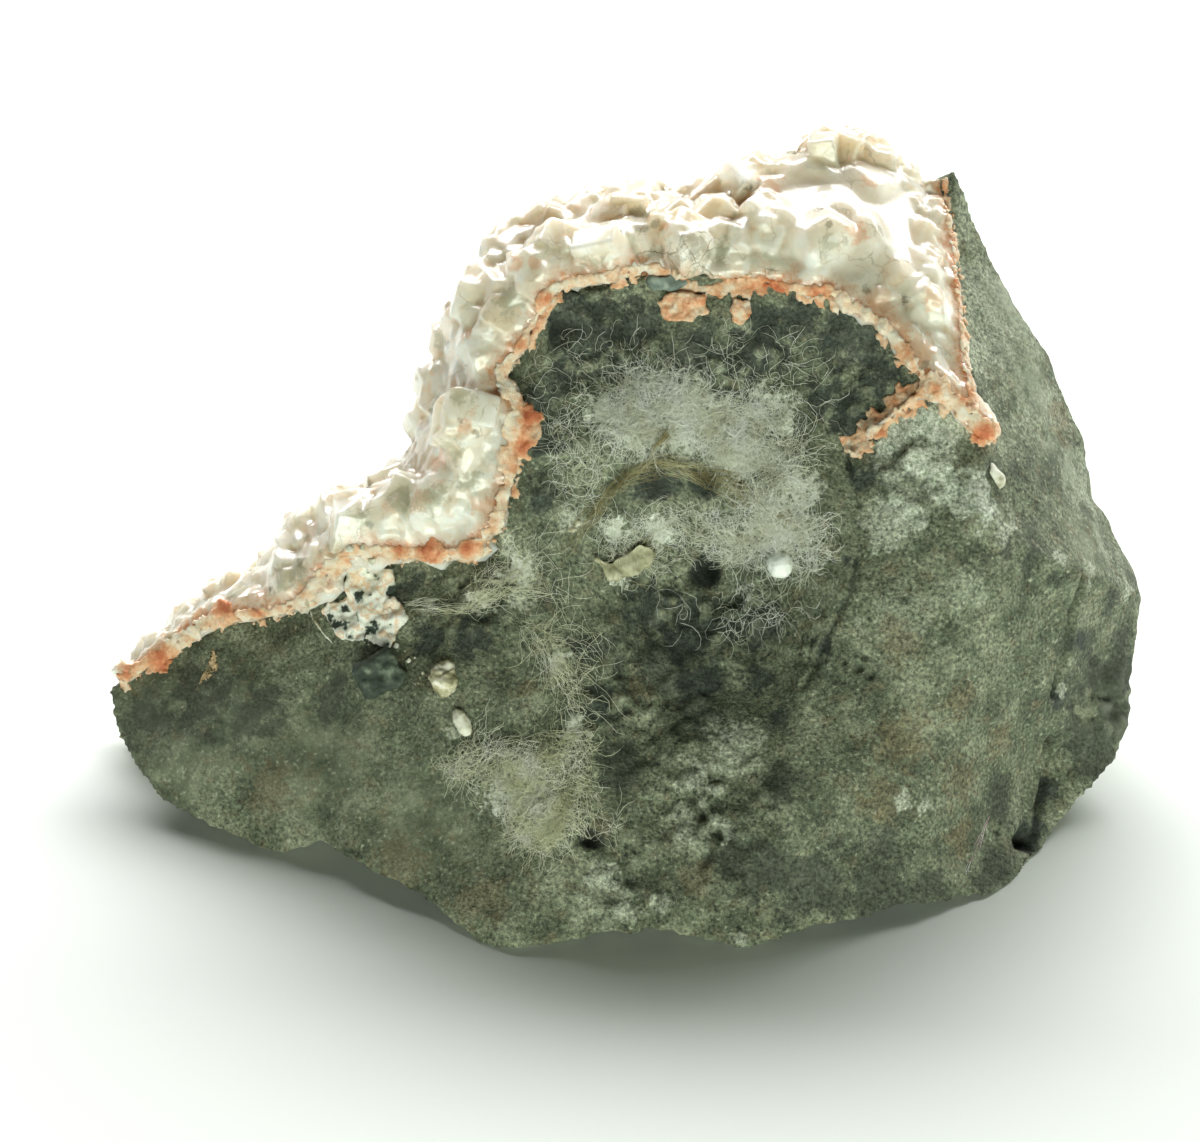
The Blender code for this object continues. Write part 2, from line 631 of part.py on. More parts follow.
def lump(tree, name, spec):
    """A nodule, bead or block set in the front, partly under the basalt's surface."""
    width, height, depth = spec["size"]
    bm = bmesh.new()
    if name in BLOCKY:
        bmesh.ops.create_cube(bm, size=1)
        bmesh.ops.bevel(bm, geom=bm.edges[:], offset=BLOCK_BEVEL, segments=1, affect="EDGES")
    else:
        bmesh.ops.create_icosphere(bm, subdivisions=2, radius=0.5)
    if name not in SMOOTH and name not in BLOCKY:
        for vertex in bm.verts:
            vertex.co *= 1 + LUMP_SWELL * noise.noise(vertex.co * LUMP_WAVES + Vector(spec["size"]))
    point = surface(tree, *spec["at"])
    frame = Matrix((Vector((1, 0, 0)), UP_SLOPE, -INTO)).transposed()
    turn = frame @ Matrix.Rotation(math.radians(spec["turn"]), 3, "Z")
    for vertex in bm.verts:
        x, y, z = vertex.co
        vertex.co = point + turn @ Vector((x * width, y * height, (z + 0.5 - LUMP_SINK) * depth))
    return bm


def add_piece(name, bm, colour, rough):
    """Makes the finished mesh an object with its own material."""
    mesh = bpy.data.meshes.new(name)
    bm.to_mesh(mesh)
    bm.free()
    mesh.transform(Matrix.Scale(MM, 4))
    piece = bpy.data.objects.new(name, mesh)
    bpy.context.scene.collection.objects.link(piece)
    material = bpy.data.materials.new(name)
    material.use_nodes = True
    shader = material.node_tree.nodes["Principled BSDF"]
    shader.inputs["Base Color"].default_value = (*colour, 1)
    shader.inputs["Roughness"].default_value = rough
    mesh.materials.append(material)
    return piece


def centre_on_base():
    """Moves every piece so that the origin is on the resting plane, under the middle of the whole."""
    pieces = [o for o in bpy.data.objects if not o.hide_render]
    corners = [v.co for piece in pieces for v in piece.data.vertices]
    low, high = (Vector([pick(c[k] for c in corners) for k in range(3)]) for pick in (min, max))
    for piece in pieces:
        piece.data.transform(Matrix.Translation(-Vector(((low.x + high.x) / 2, (low.y + high.y) / 2, low.z))))


def main():
    for old in list(bpy.data.objects):
        bpy.data.objects.remove(old)
    rock = basalt()
    tree = BVHTree.FromBMesh(rock)
    rock_room = helper("rock_room", grown(rock, GAP))
    spur_end = lump(tree, "spur_end", SPUR_END)
    seam_body = combined(seam(), [("UNION", helper("spur_end", spur_end))])
    crust_shape, crust_bare = crust(rock_room, seam_body)
    add_piece("basalt_matrix", rock, (0.13, 0.15, 0.1), 0.9)
    add_piece("apophyllite_crust", crust_shape, (0.85, 0.8, 0.7), 0.3)
    add_piece("stilbite_seam", combined(seam_body, [("DIFFERENCE", rock_room)]), (0.75, 0.4, 0.25), 0.6)
    taken = [rock_room, *(helper("taken", grown(body, GAP)) for body in (seam_body, crust_bare))]
    for name, spec in LUMPS.items():
        body = lump(tree, name, spec)
        add_piece(name, combined(body, [("DIFFERENCE", other) for other in taken]), spec["colour"], 0.7)
        taken.append(helper("taken", grown(body, GAP)))
    for name, spec in PATCHES.items():
        body = patch(tree, spec["outline"], spec["thick"], spec["spacing"])
        add_piece(name, combined(body, [("DIFFERENCE", other) for other in taken]), spec["colour"], 0.9)
        taken.append(helper("taken", grown(body, GAP)))
    centre_on_base()


main()
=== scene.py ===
"""Apophyllite specimen: a broken block of dark basalt with a crust of pale crystals on its crest and
back, an orange stilbite seam under the crust's edge, and dust lint caught on the broken front.
"""

import math
import random

import bpy
import numpy as np
from mathutils import Matrix, Vector, noise
from mathutils.bvhtree import BVHTree


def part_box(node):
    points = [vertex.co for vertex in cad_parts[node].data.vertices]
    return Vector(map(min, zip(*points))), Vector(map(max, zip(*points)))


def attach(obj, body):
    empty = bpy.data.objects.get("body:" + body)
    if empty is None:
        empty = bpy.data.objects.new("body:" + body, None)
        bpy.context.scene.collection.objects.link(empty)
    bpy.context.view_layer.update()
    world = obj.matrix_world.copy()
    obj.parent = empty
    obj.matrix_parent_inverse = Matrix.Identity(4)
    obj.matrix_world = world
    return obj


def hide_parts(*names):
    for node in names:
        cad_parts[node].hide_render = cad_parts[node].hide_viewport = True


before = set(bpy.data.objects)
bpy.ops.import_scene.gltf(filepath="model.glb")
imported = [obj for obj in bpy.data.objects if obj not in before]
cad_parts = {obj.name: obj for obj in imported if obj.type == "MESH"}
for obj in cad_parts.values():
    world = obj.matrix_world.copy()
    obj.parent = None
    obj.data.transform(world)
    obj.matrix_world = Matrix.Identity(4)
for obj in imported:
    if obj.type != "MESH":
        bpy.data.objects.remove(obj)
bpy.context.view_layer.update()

# ---- Viewpoint -------------------------------------------------------------------------------
# The specimen is looked down on from in front. Places on it are named by where they show in this
# view, counted in pixels of a 1200 x 1142 frame, and are found on whichever piece carries them.
MM = 0.001
FRAME = (1200, 1142)
LOOK_DOWN = math.radians(35)
DISTANCE = 450 * MM
FIELD = 139.8 * MM  # width of the frame at the middle of the specimen
SENSOR = 36  # width in the camera's own millimetres
OFF_CENTRE = Vector((-3.05, -3.07, -2.87)) * MM  # from the block's middle to what the camera looks at

into = Vector((0, math.cos(LOOK_DOWN), -math.sin(LOOK_DOWN)))
upward = Vector((0, math.sin(LOOK_DOWN), math.cos(LOOK_DOWN)))
rock_low, rock_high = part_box("basalt_matrix")
looked_at = (rock_low + rock_high) / 2 + OFF_CENTRE
eye = looked_at - into * DISTANCE
pixel = FIELD / FRAME[0]

lens = bpy.data.cameras.new("camera")
lens.sensor_width = SENSOR
lens.lens = SENSOR * DISTANCE / FIELD
lens.clip_start, lens.clip_end = 0.01, 10  # metres
camera = bpy.data.objects.new("camera", lens)
camera.location = eye
camera.rotation_euler = (math.pi / 2 - LOOK_DOWN, 0, 0)
bpy.context.scene.collection.objects.link(camera)
bpy.context.scene.camera = camera


def sight(u, v):
    """Direction of the line of sight through a place in the frame."""
    across, up = (u - FRAME[0] / 2) * pixel, (FRAME[1] / 2 - v) * pixel
    return (looked_at + Vector((across, 0, 0)) + upward * up - eye).normalized()


# ---- Basalt block ----------------------------------------------------------------------------
# Fine-grained grey-green lava rock, broken by hammer. The fracture faces are granular, with chipped
# ridges, cracks and a few gas pits; the hollow below the crust is bluish and darker, partly in its own
# colour and partly in painted shade. Painted light pales the faces on the right and painted shade
# darkens the faces that are in shade.
ROCK_SLOT = "basalt"
ROCK_MESH = 0.43  # mm between surface points
MOST_TRIANGLES = 196000  # in one piece
# Relief as sizes and depths in mm: all over the fracture faces, and where they are torn and chipped.
ROCK_GRAIN = ((9, 0.4), (3.4, 0.2))
FINE_GRAIN = ((1.5, 0.5),)
FINE_GRAIN_UNTORN = 0.3  # share of the fine grain on faces that aren't torn
TORN_GRAIN = ((6, 1.2), (2.8, 0.8))
CHIP = 2.6  # mm across a chip of the torn places
CHIP_DEPTH = 0.7
CHIP_LEVEL = 0.6  # a chip is hollow below this value and stands out above it
CRACK_BENDS = ((3, 0.5),)
SOLE = 0.3  # mm above the floor: the flat underside has no relief
# Cracks: a run of places in the frame, width and depth in mm.
CRACKS = {
    "under_elbow": (((1085, 572), (1074, 610), (1066, 650), (1054, 692)), 1.1, 1.6),
    "right_foot": (((1049, 740), (1044, 780), (1036, 832)), 0.9, 1.4),
    "step": (((860, 545), (850, 590), (826, 640), (803, 688)), 0.6, 0.8),
    "step_top": (((846, 455), (852, 480), (858, 505)), 0.5, 0.6),
    "front_left": (((820, 610), (850, 650), (880, 664)), 0.5, 0.5),
    "front_low": (((690, 800), (720, 838), (700, 870)), 0.8, 0.6),
    "seam_edge": (((962, 320), (968, 360), (985, 405), (992, 430)), 0.5, 0.8),
}
# Gas pits and gaps: a place in the frame, radius in pixels, depth in mm.
PITS = {
    "lint_hollow": (705, 572, 20, 2.8),
    "right_cavity": (1026, 838, 17, 2.6),
    "pit_group_1": (858, 668, 9, 0.9),
    "pit_group_2": (870, 676, 6, 0.7),
    "pit_group_3": (846, 662, 5, 0.6),
    "under_brow": (560, 330, 22, 1.4),
    "left_of_bead": (735, 600, 16, 1.2),
    "lower_gap": (590, 838, 16, 1.6),
    "beside_green": (396, 674, 12, 1.2),
    "under_roll": (655, 486, 22, 0.8),
    "under_roll_right": (705, 486, 22, 0.8),
}
# Places (u, v, radius in pixels) where the rock is torn and where it is smooth.
TORN_PLACES = ((600, 340, 90), (760, 360, 100), (700, 600, 130), (640, 700, 110), (700, 800, 110),
               (620, 880, 80), (920, 470, 80), (850, 400, 70), (480, 600, 80), (1110, 700, 70),
               (1010, 850, 60), (820, 660, 50), (740, 900, 60), (560, 470, 70))
SMOOTH_PLACES = ((150, 700, 90), (230, 720, 110), (320, 760, 120), (420, 820, 100), (1010, 300, 60),
                 (1060, 460, 70), (1110, 700, 80), (1030, 380, 70), (985, 240, 50), (1090, 540, 60),
                 (180, 760, 90))
# Stains, painted light and painted shade: colour, strength, size of a patch in mm, how far it
# settles on ridges (above 0) or in hollows (below 0), and its places (u, v, radius in pixels).
STAINS = {
    # Painted light: the faces on the right, the spur and parts of the low front made paler where the lamp
    # catches them.
    "painted_light": ("#a2a993", 0.6, 2.4, 0, (
        (1000, 300, 80), (975, 280, 60), (965, 215, 50), (990, 340, 60), (1040, 400, 80), (1080, 480, 70),
        (985, 240, 50), (900, 620, 70), (960, 590, 44), (960, 230, 40), (1100, 540, 40), (930, 480, 70),
        (975, 350, 50), (900, 520, 50), (600, 910, 50), (740, 760, 50), (700, 830, 40))),
    # Painted shade: the cheek, the low front and the left face made darker where they are in shade.
    "painted_shade": ("#41473d", 0.78, 3.0, 0, (
        (1090, 680, 60), (1100, 740, 50), (1120, 640, 40), (820, 880, 80), (880, 860, 60), (760, 870, 60),
        (660, 660, 70), (620, 760, 60), (700, 700, 60), (990, 870, 40), (780, 780, 40), (900, 900, 60),
        (1000, 800, 40), (740, 860, 50), (1110, 600, 30), (1080, 800, 50), (200, 700, 70), (150, 720, 60),
        (260, 720, 60), (840, 900, 60), (330, 700, 40), (1120, 720, 60), (1090, 760, 50), (1005, 545, 22),
        (1030, 560, 22), (1058, 576, 22), (980, 560, 24), (800, 890, 60), (1120, 680, 70), (860, 890, 60),
        (930, 890, 50), (1080, 740, 50), (1110, 760, 60), (1085, 650, 40))),
    "rust": ("#7a6d52", 0.5, 1.6, 0, (
        (900, 740, 50), (960, 700, 40), (880, 800, 44), (960, 780, 50), (1000, 740, 34), (270, 790, 50),
        (400, 860, 50), (700, 880, 34), (960, 840, 34), (480, 900, 50), (900, 640, 40), (600, 830, 22),
        (1085, 300, 30), (1060, 420, 40), (1100, 500, 34), (640, 690, 24), (525, 690, 22))),
    # Bluish-black rock in the hollow, with painted shade under the crust's brow, under the lint's roll
    # and in the pits.
    "bluish_rock_and_shade": ("#363e3a", 0.8, 2.0, -1.6, (
        (590, 330, 56), (640, 320, 46), (560, 300, 34), (690, 350, 50), (760, 340, 56), (850, 340, 60),
        (880, 370, 44), (800, 310, 44), (560, 380, 38), (530, 400, 34), (760, 430, 30), (850, 420, 38),
        (705, 572, 30), (700, 640, 60), (650, 610, 46), (760, 620, 44), (760, 680, 34), (860, 480, 30),
        (848, 560, 14), (822, 648, 18), (590, 650, 34), (600, 700, 30), (430, 640, 34), (400, 590, 34),
        (470, 640, 34), (1030, 838, 30), (1080, 640, 22), (1062, 700, 20), (1046, 790, 20),
        (660, 480, 30), (590, 840, 22), (420, 580, 24), (540, 500, 26), (700, 482, 26), (740, 485, 20),
        (540, 440, 34), (620, 370, 40), (820, 400, 34), (640, 488, 22), (610, 320, 30), (700, 680, 40),
        (780, 720, 24), (395, 676, 16), (670, 484, 24), (575, 350, 40), (730, 360, 40), (900, 390, 24))),
    # Paler patches on the spur.
    "pale_spur": ("#ccd2c2", 0.8, 4.0, 0.5, (
        (930, 470, 70), (975, 500, 46), (895, 430, 44), (940, 425, 46), (905, 500, 50), (880, 540, 30))),
    "pale_scar": ("#bfc4b2", 0.62, 1.1, 1.2, (
        (930, 455, 40), (945, 420, 30), (1005, 530, 24), (1060, 560, 16), (520, 600, 20), (560, 760, 24),
        (735, 745, 48), (700, 775, 40), (690, 822, 34), (600, 880, 34), (625, 912, 24), (720, 830, 26),
        (742, 938, 20), (1090, 570, 24), (1128, 590, 22), (905, 800, 18), (925, 806, 16), (660, 905, 22),
        (575, 520, 26), (510, 545, 22), (430, 610, 16), (1060, 690, 16), (455, 730, 18), (880, 520, 34))),
    "felt_dust": ("#e4e8da", 0.88, 1.1, 0.9, (
        (690, 420, 70), (640, 430, 46), (770, 410, 46), (740, 450, 60), (615, 530, 24), (660, 530, 28),
        (780, 525, 50), (800, 490, 40), (620, 575, 24), (520, 575, 34), (520, 790, 60), (545, 830, 36),
        (575, 730, 28), (560, 660, 22), (480, 605, 24), (745, 590, 20), (600, 410, 30))),
}
ROCK_TONES = ((0.36, "#555d4b"), (0.5, "#6f7761"), (0.64, "#8a9079"))
# Specks of clay and feldspar: colour, size in mm, share of the surface, sharpness, strength.
ROCK_SPECKS = (("#7d7056", 1.7, 0.3, 5, 0.5), ("#55604f", 2.9, 0.3, 4, 0.45),
               ("#c2c6ae", 0.6, 0.06, 9, 0.4))
# The pores have no relief of their own: their darkness is painted shade.
PORE_COLOUR = "#20251e"
PORES = (0.8, 0.12, 9, 1)  # size, share, sharpness and strength, as for the specks
PORES_UNTORN = 0.35  # how open the pores are on faces that aren't torn
PORE_DARKNESS = 0.85
NOISE_SPREAD = 0.22  # most values of the noise lie within half of this on either side of 0.5
FRAY = 1.7  # how much noise moves the edge of a stain
STAIN_EDGE = (0.3, 0.755)  # a stain sets in and is full at these values
STAIN_FADES = 0.2  # how near its middle a stain has its full strength
GRAIN_RELIEF = 0.95  # strength on the torn faces
SMOOTHED = 0.3  # contrast and relief of the grain on the smooth faces
GRAIN_TONES = ((0.34, "#707070"), (0.44, "#a6a6a6"), (0.52, "#c2c2c2"), (0.66, "#f0f0f0"))
# Painted shade in the hollows of the relief, and paler ridges: colour, the height where they are
# strongest, strength.
RELIEF_TONES = (("#1c211a", -1, 0.75), ("#c4c8b2", 1, 0.4))


def linear(colour):
    """An sRGB hex colour as linear red, green, blue and alpha."""
    parts = [int(colour[i:i + 2], 16) / 255 for i in (1, 3, 5)]
    return (*(p / 12.92 if p <= 0.04045 else ((p + 0.055) / 1.055) ** 2.4 for p in parts), 1)


def per_mm(size):
    """Scale of a pattern whose features measure this many millimetres."""
    return 1 / (size * MM)


def set_inputs(material, node, inputs):
    """Sets a node's inputs to constant values, or links them to outputs of other nodes."""
    for name, value in inputs.items():
        if isinstance(value, bpy.types.NodeSocket):
            material.node_tree.links.new(value, node.inputs[name])
        else:
            node.inputs[name].default_value = value


def add(material, kind, inputs=None, out=0, stops=(), **settings):
    """Adds a shader node with its settings and links, and returns this one of its outputs."""
    node = material.node_tree.nodes.new("ShaderNode" + kind)
    for name, value in settings.items():
        setattr(node, name, value)
    set_inputs(material, node, inputs or {})
    while stops and len(node.color_ramp.elements) < len(stops):
        node.color_ramp.elements.new(0.5)
    for element, (place, colour) in zip(node.color_ramp.elements if stops else (), stops):
        element.position, element.color = place, linear(colour)
    return node.outputs[out]


def new_material(name, surface):
    """A material and its Principled shader, with these constant values."""
    material = bpy.data.materials.new(name)
    material.use_nodes = True
    shader = material.node_tree.nodes["Principled BSDF"]
    set_inputs(material, shader, surface)
    return material, shader


def reshaped(source, kind, **settings):
    """The mesh as one of Blender's modifiers leaves it."""
    carrier = bpy.data.objects.new("carrier", source)
    bpy.context.scene.collection.objects.link(carrier)
    modifier = carrier.modifiers.new(kind, kind)
    for name, value in settings.items():
        setattr(modifier, name, value)
    graph = bpy.context.evaluated_depsgraph_get()
    made = bpy.data.meshes.new_from_object(carrier.evaluated_get(graph))
    bpy.data.objects.remove(carrier)
    return made


def evened(source, spacing, smoothing=0):
    """The union of a mesh's closed bodies as a new mesh with points this many mm apart."""
    made = reshaped(source, "REMESH", mode="VOXEL", voxel_size=spacing * MM)
    return reshaped(made, "SMOOTH", factor=0.5, iterations=smoothing) if smoothing else made


def thinned(mesh, triangles):
    """The mesh with its flatter places made of larger triangles, this many at most in all."""
    return reshaped(mesh, "DECIMATE", ratio=min(1, triangles / (2 * len(mesh.polygons))))


def points_of(mesh):
    """The mesh's points as an array."""
    flat = np.empty(len(mesh.vertices) * 3)
    mesh.vertices.foreach_get("co", flat)
    return flat.reshape(-1, 3)


def normals_of(mesh):
    """The mesh's vertex normals as an array."""
    flat = np.empty(len(mesh.vertices) * 3)
    mesh.vertex_normals.foreach_get("vector", flat)
    return flat.reshape(-1, 3)


def push(mesh, depths):
    """Moves each point of the mesh along its normal, by these metres."""
    mesh.vertices.foreach_set("co", (points_of(mesh) + normals_of(mesh) * depths[:, None]).ravel())
    mesh.update()


def raise_to_floor(mesh):
    """Moves points of the mesh that are below the floor up to it."""
    points = points_of(mesh)
    points[:, 2] = np.maximum(points[:, 2], 0)
    mesh.vertices.foreach_set("co", points.ravel())


def waves(points, layers, seed):
    """Noise at these points in metres, as a sum of layers (size, depth) in mm."""
    total = np.zeros(len(points))
    for size, depth in layers:
        offset = Vector((seed, size, -seed))
        total += [depth * MM * noise.noise(Vector(p) / (size * MM) + offset) for p in points]
    return total


def tree_of(mesh):
    """A tree for casting rays at the mesh."""
    return BVHTree.FromPolygons([v.co for v in mesh.vertices], [p.vertices for p in mesh.polygons])


def carried(u, v, tree):
    """Where a place in the frame falls on a piece, with the surface's normal there."""
    return tree.ray_cast(eye, sight(u, v))[:2]


def nearness(points, centre, radius):
    """1 at the centre and 0 from the radius on, for each of these points."""
    near = np.clip(1 - np.linalg.norm(points - np.array(centre), axis=1) / radius, 0, 1)
    return near ** 2 * (3 - 2 * near)


def store(mesh, name, values):
    """Keeps one value for each point of the mesh, for its material."""
    mesh.attributes.new(name, "FLOAT", "POINT").data.foreach_set("value", values)


def paint(mesh, name, places, tree):
    """Stores how near each point is to any of these places (u, v, radius in pixels)."""
    points = points_of(mesh)
    value = np.zeros(len(points))
    for u, v, radius in places:
        spot = carried(u, v, tree)[0]
        if spot:
            value = np.maximum(value, nearness(points, spot, radius * pixel))
    store(mesh, name, value)


def distance_to_run(points, run):
    """How far each point is from the line through these places."""
    best = np.full(len(points), 1e9)
    for a, b in zip(run, run[1:]):
        a, b = np.array(a), np.array(b)
        share = np.clip(((points - a) @ (b - a)) / ((b - a) @ (b - a)), 0, 1)
        best = np.minimum(best, np.linalg.norm(points - (a + share[:, None] * (b - a)), axis=1))
    return best


def set_piece(name, mesh, material, slot, *nodes):
    """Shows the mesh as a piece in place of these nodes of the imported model."""
    piece = bpy.data.objects.new(name, mesh)
    bpy.context.scene.collection.objects.link(piece)
    mesh.materials.clear()
    mesh.materials.append(material)
    mesh.shade_smooth()
    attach(piece, "root")
    if nodes:
        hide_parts(*nodes)
    return piece


def chips(points, size):
    """0 in the middle of a chip and 1 on the sharp break between two, at these points."""
    found = np.empty(len(points))
    for i, point in enumerate(points):
        nearest, second = noise.voronoi(Vector(point) / (size * MM))[0][:2]
        found[i] = nearest / second
    return found


def rock_mesh():
    """The block's solid with a fine surface: grain, chips, cracks and pits."""
    mesh = evened(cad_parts["basalt_matrix"].data.copy(), ROCK_MESH, smoothing=1)
    plain = tree_of(mesh)
    paint(mesh, "torn", TORN_PLACES, plain)
    torn = np.empty(len(mesh.vertices))
    mesh.attributes["torn"].data.foreach_get("value", torn)
    points, rough = points_of(mesh), torn > 0
    depths = waves(points, ROCK_GRAIN, seed=3)
    fine = waves(points, FINE_GRAIN, seed=17) * (FINE_GRAIN_UNTORN + torn)
    fine[rough] -= torn[rough] * CHIP_DEPTH * MM * (chips(points[rough], CHIP) - CHIP_LEVEL)
    depths += fine
    depths[rough] += torn[rough] * waves(points[rough], TORN_GRAIN, seed=5)
    for run, width, depth in CRACKS.values():
        line = [carried(u, v, plain)[0] for u, v in run]
        wander = np.abs(waves(points, CRACK_BENDS, seed=8))
        near = np.clip(1 - (distance_to_run(points, line) + wander) / (width * MM), 0, 1)
        depths -= near * depth * MM
        fine -= near * MM
    for u, v, radius, depth in PITS.values():
        near = nearness(points, carried(u, v, plain)[0], radius * pixel)
        depths -= near * depth * MM
        fine -= near * MM
    depths[points[:, 2] < SOLE * MM] = 0
    push(mesh, depths)
    store(mesh, "height", np.clip(fine / MM, -1, 1))
    raise_to_floor(mesh)
    return thinned(mesh, MOST_TRIANGLES)


def mottle(material, size, detail=3, rough=0.6):
    """Noise whose spots measure about this many millimetres."""
    place = add(material, "TexCoord", out="Object")
    return add(material, "TexNoise", {"Vector": place, "Scale": per_mm(size), "Detail": detail,
                                      "Roughness": rough})


def specks(material, size, share, sharp, strength):
    """Spots of about this many mm on about this share of the surface, up to this strength."""
    edge = 0.5 + NOISE_SPREAD * (0.5 - share)
    return add(material, "MapRange", {"Value": mottle(material, size, 2, 0.5), "From Min": edge,
                                      "From Max": edge + 1 / sharp, "To Max": strength})


def patchy(material, name, size, strength, settles=0):
    """A stored value broken up into ragged patches of about this many millimetres.

    They settle on the ridges of the relief where that number is above 0, and in its hollows below 0.
    """
    painted = add(material, "Attribute", out="Fac", attribute_name=name)
    frayed = mottle(material, size, 5, 0.7)
    reach = add(material, "MapRange", {"Value": frayed, "To Min": -FRAY, "To Max": FRAY})
    if settles:
        relief = add(material, "Attribute", out="Fac", attribute_name="height")
        reach = add(material, "Math", {0: relief, 1: settles, 2: reach}, operation="MULTIPLY_ADD")
    reach = add(material, "Math", {0: reach, 1: painted})
    low, high = STAIN_EDGE
    reach = add(material, "MapRange", {"Value": reach, "From Min": low, "From Max": high})
    faded = add(material, "MapRange", {"Value": painted, "From Max": STAIN_FADES, "To Max": strength})
    return add(material, "Math", {0: reach, 1: faded}, operation="MULTIPLY")


def layered(material, colour, *layers):
    """The colour with others laid over it in turn, as (hue, amount) or (hue, amount, how they mix)."""
    for hue, amount, *how in layers:
        colour = add(material, "Mix", {"Factor": amount, 6: colour, 7: linear(hue)}, 2, data_type="RGBA",
                     blend_type=how[0] if how else "MIX")
    return colour


rock = rock_mesh()
rock_tree = tree_of(rock)
# Broken basalt: crystals of feldspar, pyroxene and glass a few tenths of a millimetre across make a
# matt salt-and-pepper surface under broader clouds. Its pores and hollows are darker, in painted
# shade, and its ridges paler.
basalt, shader = new_material("broken_basalt", {"Roughness": 0.85, "IOR": 1.5})
torn, smooth, height = (add(basalt, "Attribute", out="Fac", attribute_name=name)
                        for name in ("torn", "smooth", "height"))
colour = add(basalt, "ValToRGB", {"Fac": mottle(basalt, 4.5, 4)}, stops=ROCK_TONES)
colour = layered(basalt, colour, *((hue, specks(basalt, *spots)) for hue, *spots in ROCK_SPECKS))
opened = add(basalt, "Math", {0: torn, 1: PORES_UNTORN})
pores = add(basalt, "Math", {0: specks(basalt, *PORES), 1: opened}, operation="MULTIPLY")
pores = add(basalt, "MapRange", {"Value": pores, "To Max": PORE_DARKNESS})
colour = layered(basalt, colour, (PORE_COLOUR, pores))
for name, (hue, strength, size, settles, places) in STAINS.items():
    paint(rock, name, places, rock_tree)
    colour = layered(basalt, colour, (hue, patchy(basalt, name, size, strength, settles)))
# The smooth faces show less of the crystal grain, in colour and in relief.
paint(rock, "smooth", SMOOTH_PLACES, rock_tree)
grains = add(basalt, "ValToRGB", {"Fac": mottle(basalt, 0.42, 3, 0.7)}, stops=GRAIN_TONES)
contrast = add(basalt, "MapRange", {"Value": smooth, "To Min": 1, "To Max": SMOOTHED})
colour = add(basalt, "Mix", {"Factor": contrast, 6: colour, 7: grains}, 2, data_type="RGBA",
             blend_type="OVERLAY")
for hue, extreme, strength in RELIEF_TONES:
    amount = add(basalt, "MapRange", {"Value": height, "From Max": extreme, "To Max": strength})
    colour = layered(basalt, colour, (hue, amount))
bite = add(basalt, "MapRange", {"Value": smooth, "To Min": GRAIN_RELIEF, "To Max": SMOOTHED})
relief = add(basalt, "Bump", {"Height": mottle(basalt, 0.5, 4, 0.7), "Distance": 0.3 * MM,
                              "Strength": bite})
set_inputs(basalt, shader, {"Base Color": colour, "Normal": relief})
set_piece("basalt", rock, basalt, ROCK_SLOT, "basalt_matrix")


# ---- Apophyllite crust -----------------------------------------------------------------------
# Milky, pearly crystals a few millimetres across, grown together over the crest and back. They
# are blocky prisms with cut corners, stained peach and orange where they meet the seam.
CRUST_SLOT = "apophyllite"
CRUST_BASE = 0.6  # mm between the points of the melted-together base
BAND_MESH = 0.4
BAND_SHRINK = 0.12  # mm by which the crust's lower lip stays back from the seam's edge
CRUST_MESH = 0.33  # mm between surface points
SEED = 5
# Small crystals: spacing and widths in mm on the front and on the back.
SMALL_CRYSTALS = {"front": (1.7, (1.6, 6.0)), "back": (2.6, (2.6, 6.8))}
RARITY = 2.6  # the higher, the fewer of the small crystals are wide
BACK_STARTS = 16  # mm ahead of the block's rear
FACES_UP = 0.3  # what faces up more than this counts as the front
CLEAR_OF_ROCK = 0.7  # mm under a crystal's foot
HIDDEN = 8  # mm: a place this near the rock, straight out, is inside
WIDEST = 0.9  # a crystal's width as a share of the crust's thickness under it
FOOT_CRYSTALS = (2, (4, 18), (0.9, 2.2))  # pixels between crystals and up from the foot, widths in mm
CALM = (850, 205, 85)  # where small crystals are missing: u, v, radius in pixels
CORNER = ((912, 938), (164, 215))  # ranges of u and v where crystals close the crust's right corner
CORNER_CRYSTALS = 60
# Shape of a crystal in shares of its width: its length, how far it stands out of the crust, the
# height of its pyramid, its second width, and how wide the flat that cuts off the pyramid is.
LENGTHS = (0.8, 1.3)
STANDS_OUT = (0.04, 0.18)
TALLEST = 0.8  # mm by which a small crystal stands out at most
PYRAMID = 0.28
SECOND_WIDTHS = (1, 1, 0.75, 0.5)
FLATS = (0.1, 0.5, 0.7, 0.85)
LEAN = 0.45  # slope by which a crystal may lean from straight out
TONE_SPREAD = 0.15  # how much the tones of one crystal's faces differ
# The crust's foot on the rock, from its left end to its right corner, and its right-hand edge.
FOOT = ((116, 680), (130, 672), (150, 660), (175, 640), (200, 622), (235, 615), (270, 612), (300, 600),
        (325, 568), (350, 548), (395, 550), (440, 552), (472, 552), (490, 530), (500, 500), (512, 465),
        (530, 425), (520, 408), (502, 392), (498, 372), (520, 345), (538, 320), (545, 295), (562, 282),
        (600, 276), (640, 266), (680, 278), (700, 290), (735, 282), (760, 280), (800, 288), (830, 290),
        (860, 308), (885, 325), (905, 345), (915, 365), (935, 388), (960, 402), (982, 438))
RIGHT_EDGE = ((982, 438), (972, 400), (966, 370), (962, 320), (958, 280), (953, 240), (947, 205),
              (943, 176))
TURNED_BACK = (0.36, 0.6)  # between these tilts to the back the crust's darker-toned back begins
LIES_FLAT = (0.3, 1.1)  # between these upward tilts the crust's tops are painted darker against the lamp's glare
FOOT_COLOUR = 5  # mm from the foot to where the crust is white
CRUST_TONES = ((0.2, "#f0dfc9"), (0.4, "#f6eddf"), (0.58, "#faf6ec"), (0.8, "#e9e7d8"))
# Tints of the foot: colour, size of a patch in mm, and the values between which it sets in.
FOOT_TINTS = (("#f0cdb0", 1.6, 0.98, 1.536), ("#dc9566", 1.0, 1.22, 1.506))
PATCH = 1.3  # mm across a patch of the stains
